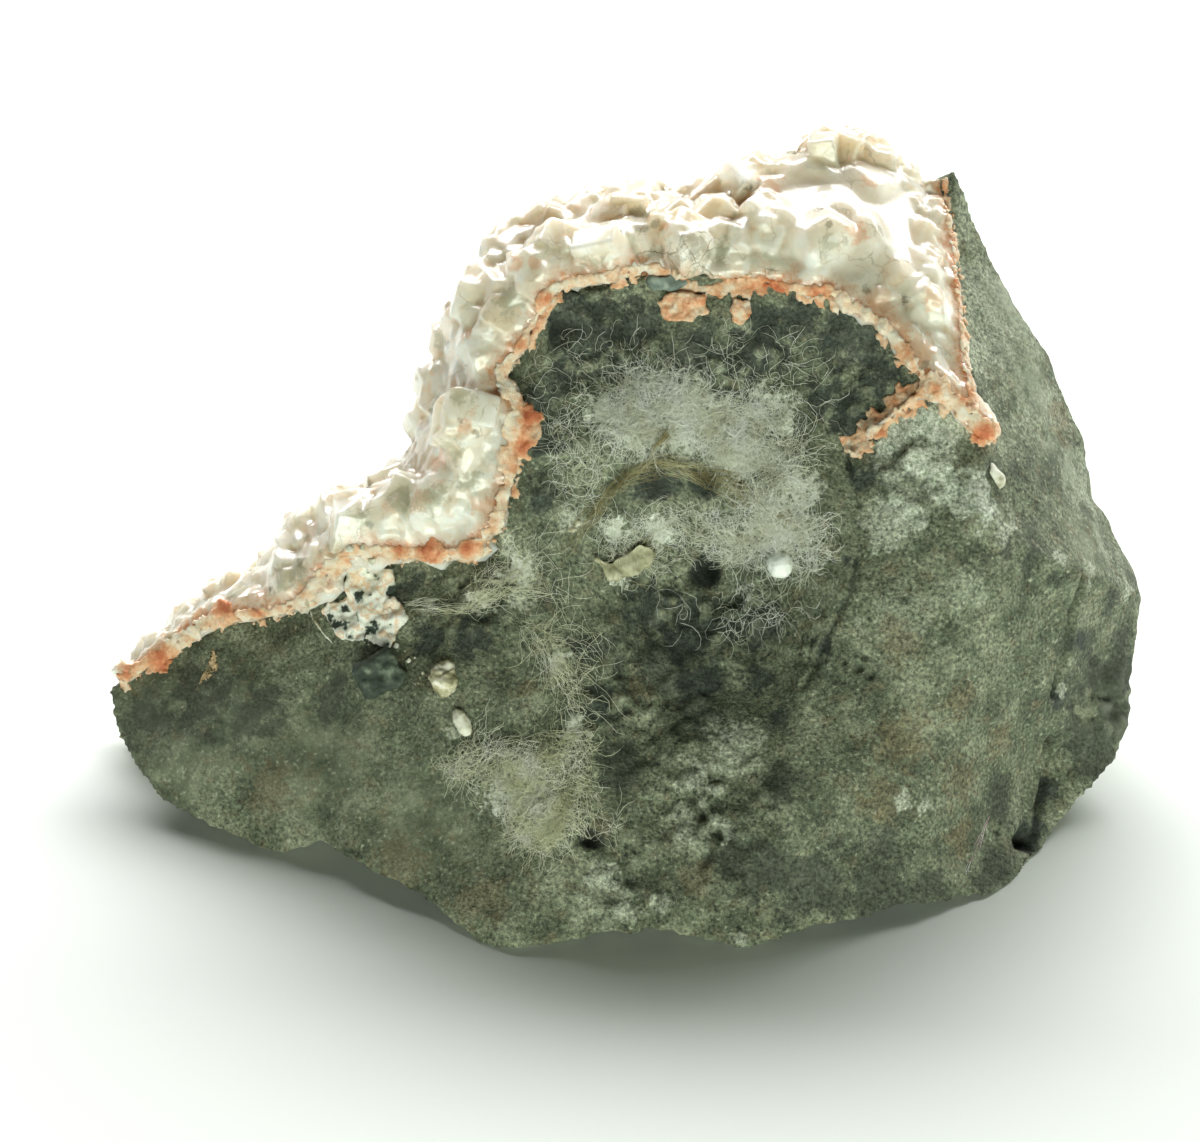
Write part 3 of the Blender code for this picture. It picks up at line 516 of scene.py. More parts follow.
# Stains and clearer growth in the crust: colour, strength, places (u, v, radius in pixels).
CRUST_STAINS = {
    "blush": ("#f0c4a6", 0.6, (
        (465, 335, 16), (535, 262, 14), (665, 225, 10), (772, 182, 24), (870, 180, 18), (855, 230, 26),
        (515, 265, 18), (440, 460, 22), (420, 500, 24), (330, 585, 22), (260, 595, 20), (200, 610, 16),
        (935, 300, 24), (925, 345, 26), (940, 380, 22), (880, 300, 26), (800, 270, 18), (700, 275, 14),
        (480, 505, 18), (465, 425, 16), (900, 330, 22), (945, 240, 14), (945, 200, 12))),
    "olive_dirt": ("#5a573c", 1.0, (
        (655, 262, 26), (675, 262, 26), (640, 226, 16), (622, 230, 12), (655, 222, 8), (700, 250, 26),
        (715, 268, 24), (690, 238, 20), (748, 187, 9), (820, 208, 8), (828, 224, 9), (880, 230, 8),
        (866, 288, 9), (447, 305, 11), (448, 345, 9), (432, 412, 8), (460, 422, 8), (478, 432, 8),
        (370, 525, 11), (300, 560, 10), (272, 590, 10), (230, 598, 9), (810, 290, 8), (770, 272, 8),
        (925, 365, 8), (955, 400, 9), (905, 300, 8))),
    "glassy": ("#b4b49c", 0.6, (
        (640, 215, 20), (590, 262, 24), (510, 300, 26), (460, 390, 30), (450, 450, 26), (430, 500, 30),
        (470, 480, 20), (355, 520, 24), (720, 250, 22), (830, 245, 20), (690, 270, 18), (560, 290, 14),
        (240, 590, 30), (440, 340, 22), (290, 575, 30), (200, 605, 20), (330, 545, 36), (170, 635, 16),
        (400, 500, 24), (420, 360, 20))),
    "white": ("#fffdf6", 0.7, (
        (583, 248, 18), (835, 238, 8), (872, 253, 16), (805, 268, 16), (455, 520, 10), (452, 476, 8),
        (700, 200, 30), (760, 210, 30), (820, 160, 30), (900, 180, 30), (900, 250, 26), (560, 225, 22))),
}
GAP = (0.488, 0.405)  # a gap between crystals starts and is full at these values of pointiness
OUTSIDE_GAPS = 0.45  # strength of the olive dirt away from the gaps
JOINT = 0.035  # width of a dirty joint as a share of a crystal
JOINT_CELLS = 3.6  # mm between joints
JOINT_BENDS = (2.5, 3)  # size and reach in mm
DIRT = (0.47, 0.67)  # between these values of the noise dirt has crept into a joint
BACK_TONING = 0.35  # the least darkening of the back, which noise adds to
GAP_SHADE = 1.6  # strength of the painted shade in the back's gaps
FOOT_DEPTH = 0.35  # share of the light's depth that is left at the foot


def crystal(width, length, second, flat):
    """Corners of a prism along +Z whose top is a pyramid cut off flat, and its faces."""
    x, y, shoulder = width / 2, width * second / 2, length - width * PYRAMID
    ring = [(x, y), (-x, y), (-x, -y), (x, -y)]
    corners = [(*p, 0) for p in ring] + [(*p, shoulder) for p in ring]
    corners += [(p[0] * flat, p[1] * flat, length) for p in ring]
    sides = [(i + k, (i + 1) % 4 + k, (i + 1) % 4 + k + 4, i + k + 4) for k in (0, 4) for i in range(4)]
    return corners, [*sides, (3, 2, 1, 0), (8, 9, 10, 11)]


def walk(run, step):
    """(place, direction) pairs this many pixels apart along a run of places in the frame."""
    found = []
    for a, b in zip(run, run[1:]):
        a, b = Vector(a), Vector(b)
        count = max(1, round((b - a).length / step))
        found += [(a.lerp(b, i / count), (b - a).normalized()) for i in range(count)]
    return found


def together(*meshes):
    """The points and faces of several meshes as two lists."""
    points, faces = [], []
    for mesh in meshes:
        faces += [tuple(len(points) + i for i in p.vertices) for p in mesh.polygons]
        points += [v.co.copy() for v in mesh.vertices]
    return points, faces


def mesh_of(points, faces):
    """A mesh from lists of points and faces."""
    mesh = bpy.data.meshes.new("part")
    mesh.from_pydata(points, [], faces)
    return mesh


def join_on(corners, faces, more_corners, more_faces):
    """Adds one closed body to the corners and faces of others."""
    faces += [tuple(len(corners) + i for i in face) for face in more_faces]
    corners += more_corners


def crystal_places(crest, chance):
    """Where small crystals grow, as (place, direction, width) in metres."""
    over_crest = rock_high.y - BACK_STARTS * MM
    tree = tree_of(crest)
    calm = carried(*CALM[:2], tree)[0]
    for side, (spacing, (small, large)) in SMALL_CRYSTALS.items():
        count = int(len(crest.polygons) * (CRUST_BASE / spacing) ** 2)
        for face in chance.choices(crest.polygons, k=count):
            root, out = face.center, face.normal
            front = root.y < over_crest or out.z > FACES_UP
            depth = rock_tree.find_nearest(root)[3]
            near_calm = (root - calm).length < CALM[2] * pixel
            if front == (side == "back") or depth < CLEAR_OF_ROCK * MM or near_calm:
                continue
            covered = rock_tree.ray_cast(root, out)[3]
            if not covered or covered > HIDDEN * MM:
                width = (small + (large - small) * chance.random() ** RARITY) * MM
                yield root, out, min(width, WIDEST * depth)
    spacing, reach, widths = FOOT_CRYSTALS
    for place, along in walk(FOOT, spacing) + walk(RIGHT_EDGE, spacing):
        spot = place + Vector((along.y, -along.x)) * chance.uniform(*reach)
        root, out = carried(*spot, tree)
        if root:
            yield root, out - sight(*spot), chance.uniform(*widths) * MM
    for _ in range(CORNER_CRYSTALS):
        u, v = (chance.uniform(low, high) for low, high in CORNER)
        root, out = carried(u, v, rock_tree)
        if root:
            yield root, out, chance.uniform(*widths) * MM


def crust_mesh():
    """The crust grown down over the seam, its edges melted, with small crystals on its free faces."""
    chance = random.Random(SEED)
    band = evened(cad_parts["stilbite_seam"].data.copy(), BAND_MESH)
    push(band, np.full(len(band.vertices), -BAND_SHRINK * MM))
    solids = together(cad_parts["apophyllite_crust"].data, band)
    crest = evened(mesh_of(*solids), CRUST_BASE, smoothing=12)
    corners, faces = together(crest)
    tones = [0.5] * len(faces)
    for root, out, width in crystal_places(crest, chance):
        length = width * chance.uniform(*LENGTHS)
        lean = Vector([chance.uniform(-LEAN, LEAN) for _ in range(3)])
        turn = (out + lean).to_track_quat("Z", "Y").to_matrix()
        turn = turn @ Matrix.Rotation(chance.uniform(0, math.tau), 3, "Z")
        stands = min(width * chance.uniform(*STANDS_OUT), TALLEST * MM)
        shape, sides = crystal(width, length, chance.choice(SECOND_WIDTHS), chance.choice(FLATS))
        placed = [root + turn @ (Vector(p) - Vector((0, 0, length - stands))) for p in shape]
        join_on(corners, faces, placed, sides)
        tone = chance.random()
        tones += [tone + chance.uniform(-TONE_SPREAD, TONE_SPREAD) for _ in sides]
    grown = thinned(evened(mesh_of(corners, faces), CRUST_MESH, smoothing=1), MOST_TRIANGLES)
    raise_to_floor(grown)
    tree = BVHTree.FromPolygons(corners, faces)
    store(grown, "tone", [tones[tree.find_nearest(v.co)[2]] for v in grown.vertices])
    base = tree_of(crest)
    tilts = np.array([base.find_nearest(v.co)[1] for v in grown.vertices])
    for name, axis, (low, high) in (("behind", 1, TURNED_BACK), ("top_shade", 2, LIES_FLAT)):
        store(grown, name, np.clip((tilts[:, axis] - low) / (high - low), 0, 1))
    return grown


crust = crust_mesh()
crust_tree = tree_of(crust)
front_tree = BVHTree.FromPolygons(*together(rock, crust))
from_foot = np.full(len(crust.vertices), 1.0)  # metres, farther than any
for run in (FOOT, RIGHT_EDGE):
    line = [carried(*place, front_tree)[0] for place in run]
    from_foot = np.minimum(from_foot, distance_to_run(points_of(crust), [at for at in line if at]))
store(crust, "near_foot", np.clip(1 - from_foot / (FOOT_COLOUR * MM), 0, 1))
# Apophyllite, grown in hot water: milky glass with a pearly shine. Light sinks deep into it and
# comes back soft and cream, but less deep where it is stained at the foot.
milky, shader = new_material("milky_apophyllite", {
    "Roughness": 0.26, "IOR": 1.535, "Subsurface Weight": 0.8,
    "Subsurface Radius": (6.5 * MM, 5.6 * MM, 4.8 * MM), "Transmission Weight": 0.05,
    "Coat Weight": 0.25, "Coat Roughness": 0.1})
tone, near_foot, olive_dirt, top_shade, behind = (
    add(milky, "Attribute", out="Fac", attribute_name=name)
    for name in ("tone", "near_foot", "olive_dirt", "top_shade", "behind"))
pointiness = add(milky, "NewGeometry", out="Pointiness")
gaps = add(milky, "MapRange", {"Value": pointiness, "From Min": GAP[0], "From Max": GAP[1]})
mixed = add(milky, "Mix", {2: tone, 3: mottle(milky, 1.6, 5, 0.7)})
colour = add(milky, "ValToRGB", {"Fac": mixed}, stops=CRUST_TONES)
for hue, size, low, high in FOOT_TINTS:
    stained = add(milky, "Math", {0: near_foot, 1: mottle(milky, size, 4, 0.7)})
    amount = add(milky, "MapRange", {"Value": stained, "From Min": low, "From Max": high})
    colour = layered(milky, colour, (hue, amount))
for name, (hue, strength, places) in CRUST_STAINS.items():
    paint(crust, name, places, crust_tree)
    amount = patchy(milky, name, PATCH, strength)
    if name == "olive_dirt":  # thickest in the gaps
        caught = add(milky, "Math", {0: gaps, 1: OUTSIDE_GAPS})
        amount = add(milky, "Math", {0: amount, 1: caught}, operation="MULTIPLY", use_clamp=True)
    colour = layered(milky, colour, (hue, amount))
# Hairline joints between crystals, bent and broken, brown where dirt has crept in.
here = add(milky, "TexCoord", out="Object")
wobble = add(milky, "TexNoise", {"Vector": here, "Scale": per_mm(JOINT_BENDS[0]), "Detail": 3}, "Color")
bent = add(milky, "VectorMath", {0: wobble, 1: [JOINT_BENDS[1] * MM] * 3, 2: here},
           operation="MULTIPLY_ADD")
cells = add(milky, "TexVoronoi", {"Vector": bent, "Scale": per_mm(JOINT_CELLS)}, "Distance",
            feature="DISTANCE_TO_EDGE")
joints = add(milky, "MapRange", {"Value": cells, "From Min": JOINT, "From Max": 0})
dirt = add(milky, "MapRange", {"Value": mottle(milky, 4), "From Min": DIRT[0], "From Max": DIRT[1],
                               "To Max": 0.5})
dirt = add(milky, "Math", {0: dirt, 1: olive_dirt})
dirty_joints = add(milky, "Math", {0: joints, 1: dirt}, operation="MULTIPLY", use_clamp=True)
# The hidden back is toned darker cream, in patches, and painted shade darkens its gaps.
patches = add(milky, "Math", {0: mottle(milky, 5, 4, 0.7), 1: BACK_TONING})
toned_back = add(milky, "Math", {0: behind, 1: patches}, operation="MULTIPLY", use_clamp=True)
gap_shade = add(milky, "Math", {0: gaps, 1: GAP_SHADE}, operation="MULTIPLY")
gap_shade = add(milky, "Math", {0: gap_shade, 1: behind}, operation="MULTIPLY", use_clamp=True)
colour = layered(
    milky, colour,
    # painted shade in the gaps between crystals
    ("#bda482", add(milky, "MapRange", {"Value": gaps, "To Max": 0.6})),
    ("#8a7a58", dirty_joints),
    ("#d8d4c6", top_shade, "MULTIPLY"),  # tops painted darker against the lamp's glare
    ("#b9b6a8", toned_back, "MULTIPLY"),
    # painted shade in the back's gaps
    ("#7d7258", gap_shade))
relief = add(milky, "Bump", {"Height": mottle(milky, 0.8), "Distance": 0.1 * MM, "Strength": 0.4})
deep = add(milky, "MapRange", {"Value": near_foot, "To Min": 1, "To Max": FOOT_DEPTH})
set_inputs(milky, shader, {"Base Color": colour, "Normal": relief, "Subsurface Scale": deep})
set_piece("apophyllite_crystals", crust, milky, CRUST_SLOT, "apophyllite_crust")


# ---- Stilbite seam ---------------------------------------------------------------------------
# A matt band of tiny salmon-orange blades between crust and basalt, ragged where it grew down
# over the rock. At its right end it turns up along the crust's edge, and a vein leaves it.
SEAM_SLOT = "stilbite"
SEAM_MESH = 0.22  # mm between surface points
VEIN = ((940, 388), (920, 396), (897, 408), (872, 428), (848, 455))
# Runs of the seam: rows of blades per mm, reach down over the rock and up over the crust, and the
# size of a blade, in mm.
SEAM_RUNS = ((FOOT, 5, 1.5, 0.5, 0.2), (RIGHT_EDGE, 3.2, 0.25, 0.4, 0.2), (VEIN, 4.5, 1.6, 1.5, 0.22))
BLADE_STEP = 0.27  # mm between the blades of a row
SWELL = (24, 0.8)  # pixels along the seam over which it widens and narrows, and by how much
TOOTH = (6, 0.4, 0.8)  # pixels across a tooth of the lower edge, then its mean and varying length
RAGGED = 0.2  # how much further single rows reach down
TOPS = 0.3  # the least reach up of a row, as a share of its run's
OVERSHOOT = 0.4  # mm by which every row goes down past its edge
BLADE_STRAY = 0.2  # mm by which a blade lies beside its row
BLADE_SIZES = (0.6, 1.3)  # of single blades, as shares of their run's
BLADE_STRETCH = (0.3, 1.8)
PROUD = 0.2  # share of a blade's radius by which its middle stands off the surface
SEAM_RELIEF = ((1.2, 0.16), (0.5, 0.08))  # sizes and depths in mm
# Places (u, v, radius in pixels) where the seam swells to a patch, and the blades there.
SWELLINGS = ((522, 428, 20), (508, 458, 13), (986, 432, 14), (222, 614, 13), (432, 550, 12),
             (470, 552, 12), (890, 338, 11), (936, 386, 14), (655, 274, 10), (545, 302, 11),
             (840, 302, 10), (160, 660, 10))
SWELLING_BLADE = 0.28  # mm
SWELLING_BLADES = 0.7  # for each square pixel
CROWDING = 0.7  # above 0.5 the blades crowd towards a swelling's middle
# Places (u, v, radius in pixels) where the seam is deepest orange; elsewhere it fades to cream.
DEEP_ORANGE = ((487, 432, 16), (530, 415, 20), (520, 448, 14), (545, 300, 16), (490, 378, 18),
               (592, 270, 16), (772, 284, 32), (820, 292, 22), (855, 314, 24), (225, 608, 26),
               (160, 660, 26), (125, 672, 16), (430, 550, 30), (470, 548, 18), (985, 433, 22),
               (968, 398, 18), (682, 305, 34), (738, 312, 16), (360, 540, 16), (905, 352, 16),
               (520, 345, 12), (950, 215, 20), (955, 280, 16), (258, 615, 14), (400, 550, 18),
               (480, 360, 12), (935, 388, 12))
SEAM_TONES = ((0.24, "#c4714a"), (0.36, "#d89268"), (0.48, "#e6b48e"), (0.6, "#eed3b8"),
              (0.74, "#f1e6d6"))
STANDS_OFF = 2.2  # mm off the rock where the seam is palest
PALER = {"deep": -0.3, "rise": 0.1}  # how far these stored values move the seam along its tones


def blade(centre, radius, stretch, chance):
    """Corners and faces of a tiny blade: an octahedron drawn out along a direction."""
    turn = Matrix.Rotation(chance.uniform(0, math.tau), 3, Vector([chance.gauss(0, 1) for _ in range(3)]))
    axes = ((1, 0, 0), (0, 1, 0), (0, 0, 1))
    ends = [turn @ Vector(axis) * radius * sign for axis in axes for sign in (1, -1)]
    corners = [centre + end + stretch * end.dot(stretch.normalized()) / radius for end in ends]
    return corners, [(x, y, z) if (x + y + z) % 2 == 0 else (x, z, y)
                     for x in (0, 1) for y in (2, 3) for z in (4, 5)]


def seam_places(chance):
    """Where the seam's blades sit in the frame, as (place, direction, size in mm)."""
    for run, rows, down, up, size in SEAM_RUNS:
        for place, along in walk(run, MM / pixel / rows):
            across = Vector((-along.y, along.x))
            swell = 1 + SWELL[1] * noise.noise(Vector((*place, 0)) / SWELL[0])
            tooth = TOOTH[1] + TOOTH[2] * noise.noise(Vector((*place, 3)) / TOOTH[0])
            tooth = swell * (tooth + chance.uniform(0, RAGGED))
            lies = (Vector((1, 0, 0)) * across.x - upward * across.y).normalized()
            top = up * (TOPS + (1 - TOPS) * chance.random()) * swell
            for share in np.arange(-top, max(OVERSHOOT, down * tooth + OVERSHOOT), BLADE_STEP):
                offset = across * share + along * chance.gauss(0, BLADE_STRAY)
                yield place + offset * (MM / pixel), lies, size
    for u, v, radius in SWELLINGS:
        for _ in range(int(radius ** 2 * SWELLING_BLADES)):
            turn, reach = chance.uniform(0, math.tau), radius * chance.random() ** CROWDING
            place = Vector((u + reach * math.cos(turn), v + reach * math.sin(turn)))
            yield place, -upward, SWELLING_BLADE


def seam_mesh():
    """Blades along the seam's runs, lying on the rock and on the crust's foot."""
    chance = random.Random(SEED + 1)
    corners, faces = [], []
    places = list(seam_places(chance))  # all drawn before the blades are
    for spot, lies, size in places:
        hit = carried(*spot, front_tree)[0]
        if hit:
            radius = size * chance.uniform(*BLADE_SIZES) * MM
            stretch = lies * radius * chance.uniform(*BLADE_STRETCH)
            join_on(corners, faces, *blade(hit - sight(*spot) * radius * PROUD, radius, stretch, chance))
    mesh = evened(mesh_of(corners, faces), SEAM_MESH)
    push(mesh, waves(points_of(mesh), SEAM_RELIEF, seed=21))
    return mesh


seam = seam_mesh()
paint(seam, "deep", DEEP_ORANGE, tree_of(seam))
from_rock = [rock_tree.find_nearest(v.co)[3] for v in seam.vertices]
store(seam, "rise", [min(1, distance / (STANDS_OFF * MM)) for distance in from_rock])
# Stilbite, grown as sheaves of tiny blades: matt, a little waxy, deepest orange against the rock.
salmon, shader = new_material("salmon_stilbite", {
    "Roughness": 0.7, "Subsurface Weight": 0.3, "Subsurface Scale": 1.0,
    "Subsurface Radius": (1.2 * MM, 0.7 * MM, 0.4 * MM)})
paleness = mottle(salmon, 1.8, 5, 0.7)
for name, change in PALER.items():
    stored = add(salmon, "Attribute", out="Fac", attribute_name=name)
    paleness = add(salmon, "Math", {0: stored, 1: change, 2: paleness}, operation="MULTIPLY_ADD")
colour = add(salmon, "ValToRGB", {"Fac": paleness}, stops=SEAM_TONES)
relief = add(salmon, "Bump", {"Height": mottle(salmon, 0.5), "Distance": 0.25 * MM, "Strength": 0.9})
set_inputs(salmon, shader, {"Base Color": colour, "Normal": relief})
set_piece("stilbite_blades", seam, salmon, SEAM_SLOT, "stilbite_seam")


# ---- Dust lint -------------------------------------------------------------------------------
# Felted household fibres caught in the hollow: pale curly hairs, thickest in four mats, with a
# brown rolled edge. Each hair is a thin tube that follows the rock a little above it.
LINT_SLOT = "lint"
HAIR = 0.026  # radius in mm
THICKNESSES = (0.55, 1.1)  # of single hairs, as shares of that
TIP = 0.4  # radius of a hair's ends as a share of the rest
HAIR_POINTS = 7
HAIR_SIDES = 3
CLEAR_OF_STONE = 0.08  # mm: the least height of a hair's middle line
STARTS = (0.15, 1)  # height of a loose hair's first point, as shares of its mat's
RISE = 0.16  # share of its mat's height by which a hair may rise or fall from point to point
LOWEST = 0.06  # share of its mat's height that a hair keeps
CURL = 0.34  # radians a hair may turn from point to point
KEEPS_CURLING = 0.8  # share of the last turn that goes on into the next
LOOSE_LENGTHS = (0.4, 1.8)  # of single hairs, as shares of their mat's
LAID_LENGTHS = (0.6, 1.3)
# Hairs laid along a strand: the same heights for them, pixels between the strand's places, and how a
# hair leaves the strand from point to point: in one direction, at random, and downwards.
LAID_STARTS = (0.1, 1)
LAID_RISE = 0.1
STRAND_STEP = 2
DRIFT = 0.35  # share of the strand's stray
JITTER = (0.5, 0.4, 0.5)  # its spread, its least share and how that grows with the strand's stray
SAG = 0.1  # pixels
GAPS = ((16, 1), (5, 0.6))  # sizes in pixels and weights of the noise that leaves gaps in a mat
THIN_PLACES = (-0.35, 0.1)  # a hair is left out where that noise is below a value from this range
FIBRES = {
    "dust_fibre": ((0.35, "#e2e2cc"), (0.5, "#f6f8ec"), (0.65, "#fdfffa")),
    "cream_fibre": ((0.35, "#dcdcb8"), (0.5, "#efefd6"), (0.65, "#fafaee")),
    "brown_fibre": ((0.35, "#857b50"), (0.5, "#aea478"), (0.65, "#d0caa4")),
    "pink_thread": ((0.42, "#efe9ea"), (0.5, "#d27ea6"), (0.58, "#efe9ea")),
}
# Each mat: its node, its finish, its outlines in the frame with hairs per square mm, their length and
# how high they stand in mm, and its strands: a run of places, hairs, how far they stray in pixels,
# length and height in mm.
MATS = {
    "lint_centre": ("lint_mat_centre", "dust_fibre", (
        (((632, 378), (668, 370), (692, 385), (735, 400), (772, 384), (756, 420), (802, 458), (790, 480),
          (740, 462), (700, 448), (650, 444), (600, 436), (598, 415)), 22, 3.0, 1.0),
        (((598, 515), (640, 508), (700, 508), (742, 516), (732, 548), (690, 558), (640, 572), (598, 556)),
         8, 2.4, 0.7),
        (((738, 500), (772, 478), (802, 468), (796, 508), (828, 520), (830, 546), (812, 574), (762, 562),
          (716, 556)), 20, 2.8, 1.2),
        (((548, 415), (602, 438), (598, 480), (574, 524), (556, 480)), 6, 3.0, 0.8),
        (((545, 340), (640, 330), (700, 380), (640, 420), (560, 440), (528, 400)), 1.3, 2.6, 0.5),
        (((600, 548), (652, 545), (656, 572), (604, 584)), 7, 1.6, 1.7),
        (((690, 330), (800, 330), (836, 400), (830, 480), (770, 440), (700, 400)), 1.1, 3.0, 0.6),
        (((640, 590), (700, 600), (800, 580), (810, 620), (720, 640), (650, 620)), 2.0, 4, 0.6)), (
        (((572, 445), (575, 425), (600, 420), (590, 436)), 8, 2, 4, 0.6),
        (((565, 545), (553, 598), (520, 590)), 10, 3, 5, 0.5))),
    "lint_lower": ("lint_mat_lower", "cream_fibre", (
        (((442, 775), (456, 754), (492, 744), (524, 752), (560, 750), (580, 768), (580, 800), (560, 812),
          (520, 800), (470, 785)), 22, 2.2, 1.1),
        (((512, 800), (570, 806), (580, 826), (558, 836), (548, 854), (524, 850), (512, 830)),
         26, 2.2, 1.2),
        (((590, 812), (617, 815), (615, 840), (592, 838)), 6, 2.6, 0.8)), (
        (((455, 775), (475, 752), (500, 746), (540, 752), (578, 765), (582, 800), (558, 828), (540, 850)),
         130, 8, 3, 1.1),
        (((466, 790), (478, 807)), 2, 1, 3, 0.5))),
    "lint_strand": ("lint_strand_left", "cream_fibre", (
        (((486, 545), (552, 548), (556, 590), (490, 588)), 3, 4, 0.6),), (
        (((395, 608), (440, 608), (468, 610), (490, 590), (545, 590)), 70, 3, 4, 0.7),
        (((470, 602), (490, 590), (506, 586)), 130, 5, 2.2, 1.0),
        (((396, 713), (417, 690), (415, 682)), 3, 0.6, 4, 0.4))),
    "lint_tuft_hairs": ("lint_tuft", "cream_fibre", (
        (((524, 618), (600, 630), (590, 690), (592, 745), (572, 722), (556, 690), (534, 650)), 3, 4, 0.8),
        (((545, 730), (593, 730), (590, 762), (570, 756)), 8, 3, 0.7)), (
        (((520, 618), (545, 650), (557, 690), (568, 725), (585, 760)), 70, 4, 3.5, 1.0),
        (((545, 640), (570, 690)), 70, 6, 2.4, 1.1))),
}
# The brown rolled edge of the centre mat and a twist of fibres that stands off it.
ROLL = (
    (((596, 512), (612, 486), (630, 472), (655, 463), (690, 467), (722, 478), (748, 494)),
     260, 2.4, 4, 1.6),
    (((562, 560), (577, 530), (600, 500)), 60, 3, 4, 0.8),
    (((738, 488), (770, 505), (792, 522)), 60, 4, 4, 1.0),
    (((648, 462), (655, 445), (668, 432)), 60, 1.2, 4, 1.6),
    (((600, 575), (620, 560), (650, 548)), 60, 4, 3, 0.7))
# A pink and white thread caught near the foot of the right-hand side.
THREAD = ((((988, 814), (978, 838), (972, 852), (964, 874)), 9, 0.7, 4, 0.6),)


def inside(place, outline):
    """Whether a place in the frame lies inside the outline."""
    within = False
    for (u, v), (p, q) in zip(outline, (*outline[1:], outline[0])):
        if (v > place[1]) != (q > place[1]) and place[0] < u + (p - u) * (place[1] - v) / (q - v):
            within = not within
    return within


def hair(start, normal, length, height, chance):
    """Points of one loose hair along the rock, and the rock's normals under them."""
    heading = normal.cross(Vector([chance.gauss(0, 1) for _ in range(3)])).normalized()
    at, bend, lift = start, chance.gauss(0, CURL), chance.uniform(*STARTS) * height
    points, normals = [], []
    for _ in range(HAIR_POINTS):
        foot, normal = rock_tree.find_nearest(at)[:2]
        heading = (heading - normal * heading.dot(normal)).normalized()
        points.append(foot + normal * max(CLEAR_OF_STONE * MM, lift))
        normals.append(normal)
        bend = bend * KEEPS_CURLING + chance.gauss(0, CURL)
        heading = Matrix.Rotation(bend, 3, normal) @ heading
        lift = min(max(lift + chance.gauss(0, RISE) * height, LOWEST * height), height)
        at = foot + heading * (length / (HAIR_POINTS - 1))
    return points, normals


def laid_hair(run, stray, length, height, chance):
    """Points of one hair laid along a run of places in the frame, and the rock's normals there."""
    places = [place for place, _ in walk(run, STRAND_STEP)]
    first = chance.randint(0, len(places) - 1)
    reach = length * MM / pixel / STRAND_STEP
    aside = Vector((chance.gauss(0, stray), chance.gauss(0, stray)))
    drift = Vector((chance.gauss(0, stray), chance.gauss(0, stray))) * DRIFT
    spread, least, growth = JITTER
    lift, points, normals = chance.uniform(*LAID_STARTS) * height * MM, [], []
    for i in range(HAIR_POINTS):
        place = places[min(int(first + reach * i / (HAIR_POINTS - 1)), len(places) - 1)]
        jitter = Vector((chance.gauss(0, spread), chance.gauss(0, spread)))
        aside += drift + jitter * (least + stray * growth)
        foot, normal = carried(*(place + aside + Vector((0, i * SAG))), rock_tree)
        points.append(foot + normal * max(CLEAR_OF_STONE * MM, lift))
        normals.append(normal)
        lift += chance.gauss(0, LAID_RISE) * height * MM
    return points, normals


def tubes(runs, normals, radii):
    """One mesh of thin closed tubes along these runs of points."""
    runs, normals = np.array(runs), np.array(normals)
    ahead = np.gradient(runs, axis=1)
    ahead /= np.linalg.norm(ahead, axis=2, keepdims=True) + 1e-12
    side = np.cross(ahead, normals)
    side /= np.linalg.norm(side, axis=2, keepdims=True) + 1e-12
    other = np.cross(side, ahead)
    turns = np.arange(HAIR_SIDES)[:, None] * math.tau / HAIR_SIDES
    around = np.cos(turns) * side[:, :, None] + np.sin(turns) * other[:, :, None]
    count, steps = runs.shape[:2]
    taper = np.ones(steps)
    taper[0] = taper[-1] = TIP
    points = runs[:, :, None] + around * (np.array(radii)[:, None] * taper)[:, :, None, None]
    index = np.arange(count * steps * HAIR_SIDES).reshape(count, steps, HAIR_SIDES)
    after = np.roll(index, -1, axis=2)
    sides = np.stack((index[:, :-1], after[:, :-1], after[:, 1:], index[:, 1:]), -1).reshape(-1, 4)
    faces = [*sides.tolist(), *index[:, 0, ::-1].tolist(), *index[:, -1].tolist()]
    return mesh_of(points.reshape(-1, 3).tolist(), faces)


def felt(parts, strands, seed):
    """A mat of hairs over these outlines, thinner where noise leaves gaps, and its strands."""
    chance = random.Random(seed)
    hairs = []
    for outline, density, length, height in parts:
        low, high = ([pick(p[k] for p in outline) for k in (0, 1)] for pick in (min, max))
        area = (high[0] - low[0]) * (high[1] - low[1]) * (pixel / MM) ** 2
        for _ in range(int(area * density)):
            place = (chance.uniform(low[0], high[0]), chance.uniform(low[1], high[1]))
            cover = sum(weight * noise.noise(Vector((*place, seed)) / size) for size, weight in GAPS)
            if not inside(place, outline) or cover < chance.uniform(*THIN_PLACES):
                continue
            start, normal = carried(*place, rock_tree)
            reach = length * chance.uniform(*LOOSE_LENGTHS) * MM
            hairs.append(hair(start, normal, reach, height * MM, chance))
    for run, count, stray, length, height in strands:
        hairs += [laid_hair(run, stray, length * chance.uniform(*LAID_LENGTHS), height, chance)
                  for _ in range(count)]
    runs, normals = zip(*hairs)
    return tubes(runs, normals, [HAIR * chance.uniform(*THICKNESSES) * MM for _ in runs])


def matt(name, tones, roughness, size, detail, rough):
    """A matt material whose tones change every few millimetres, by this size."""
    material, shader = new_material(name, {"Roughness": roughness})
    colour = add(material, "ValToRGB", {"Fac": mottle(material, size, detail, rough)}, stops=tones)
    set_inputs(material, shader, {"Base Color": colour})
    return material


# Household dust, mostly cotton and wool worn off cloth: dull fibres with no shine.
fibres = {name: matt(name, tones, roughness=0.9, size=3, detail=3, rough=0.6)
          for name, tones in FIBRES.items()}
for number, (name, (node, finish, parts, strands)) in enumerate(MATS.items()):
    set_piece(name, felt(parts, strands, 40 + number), fibres[finish], LINT_SLOT, node)
set_piece("lint_roll", felt((), ROLL, 50), fibres["brown_fibre"], LINT_SLOT)
set_piece("lint_thread", felt((), THREAD, 51), fibres["pink_thread"], LINT_SLOT)


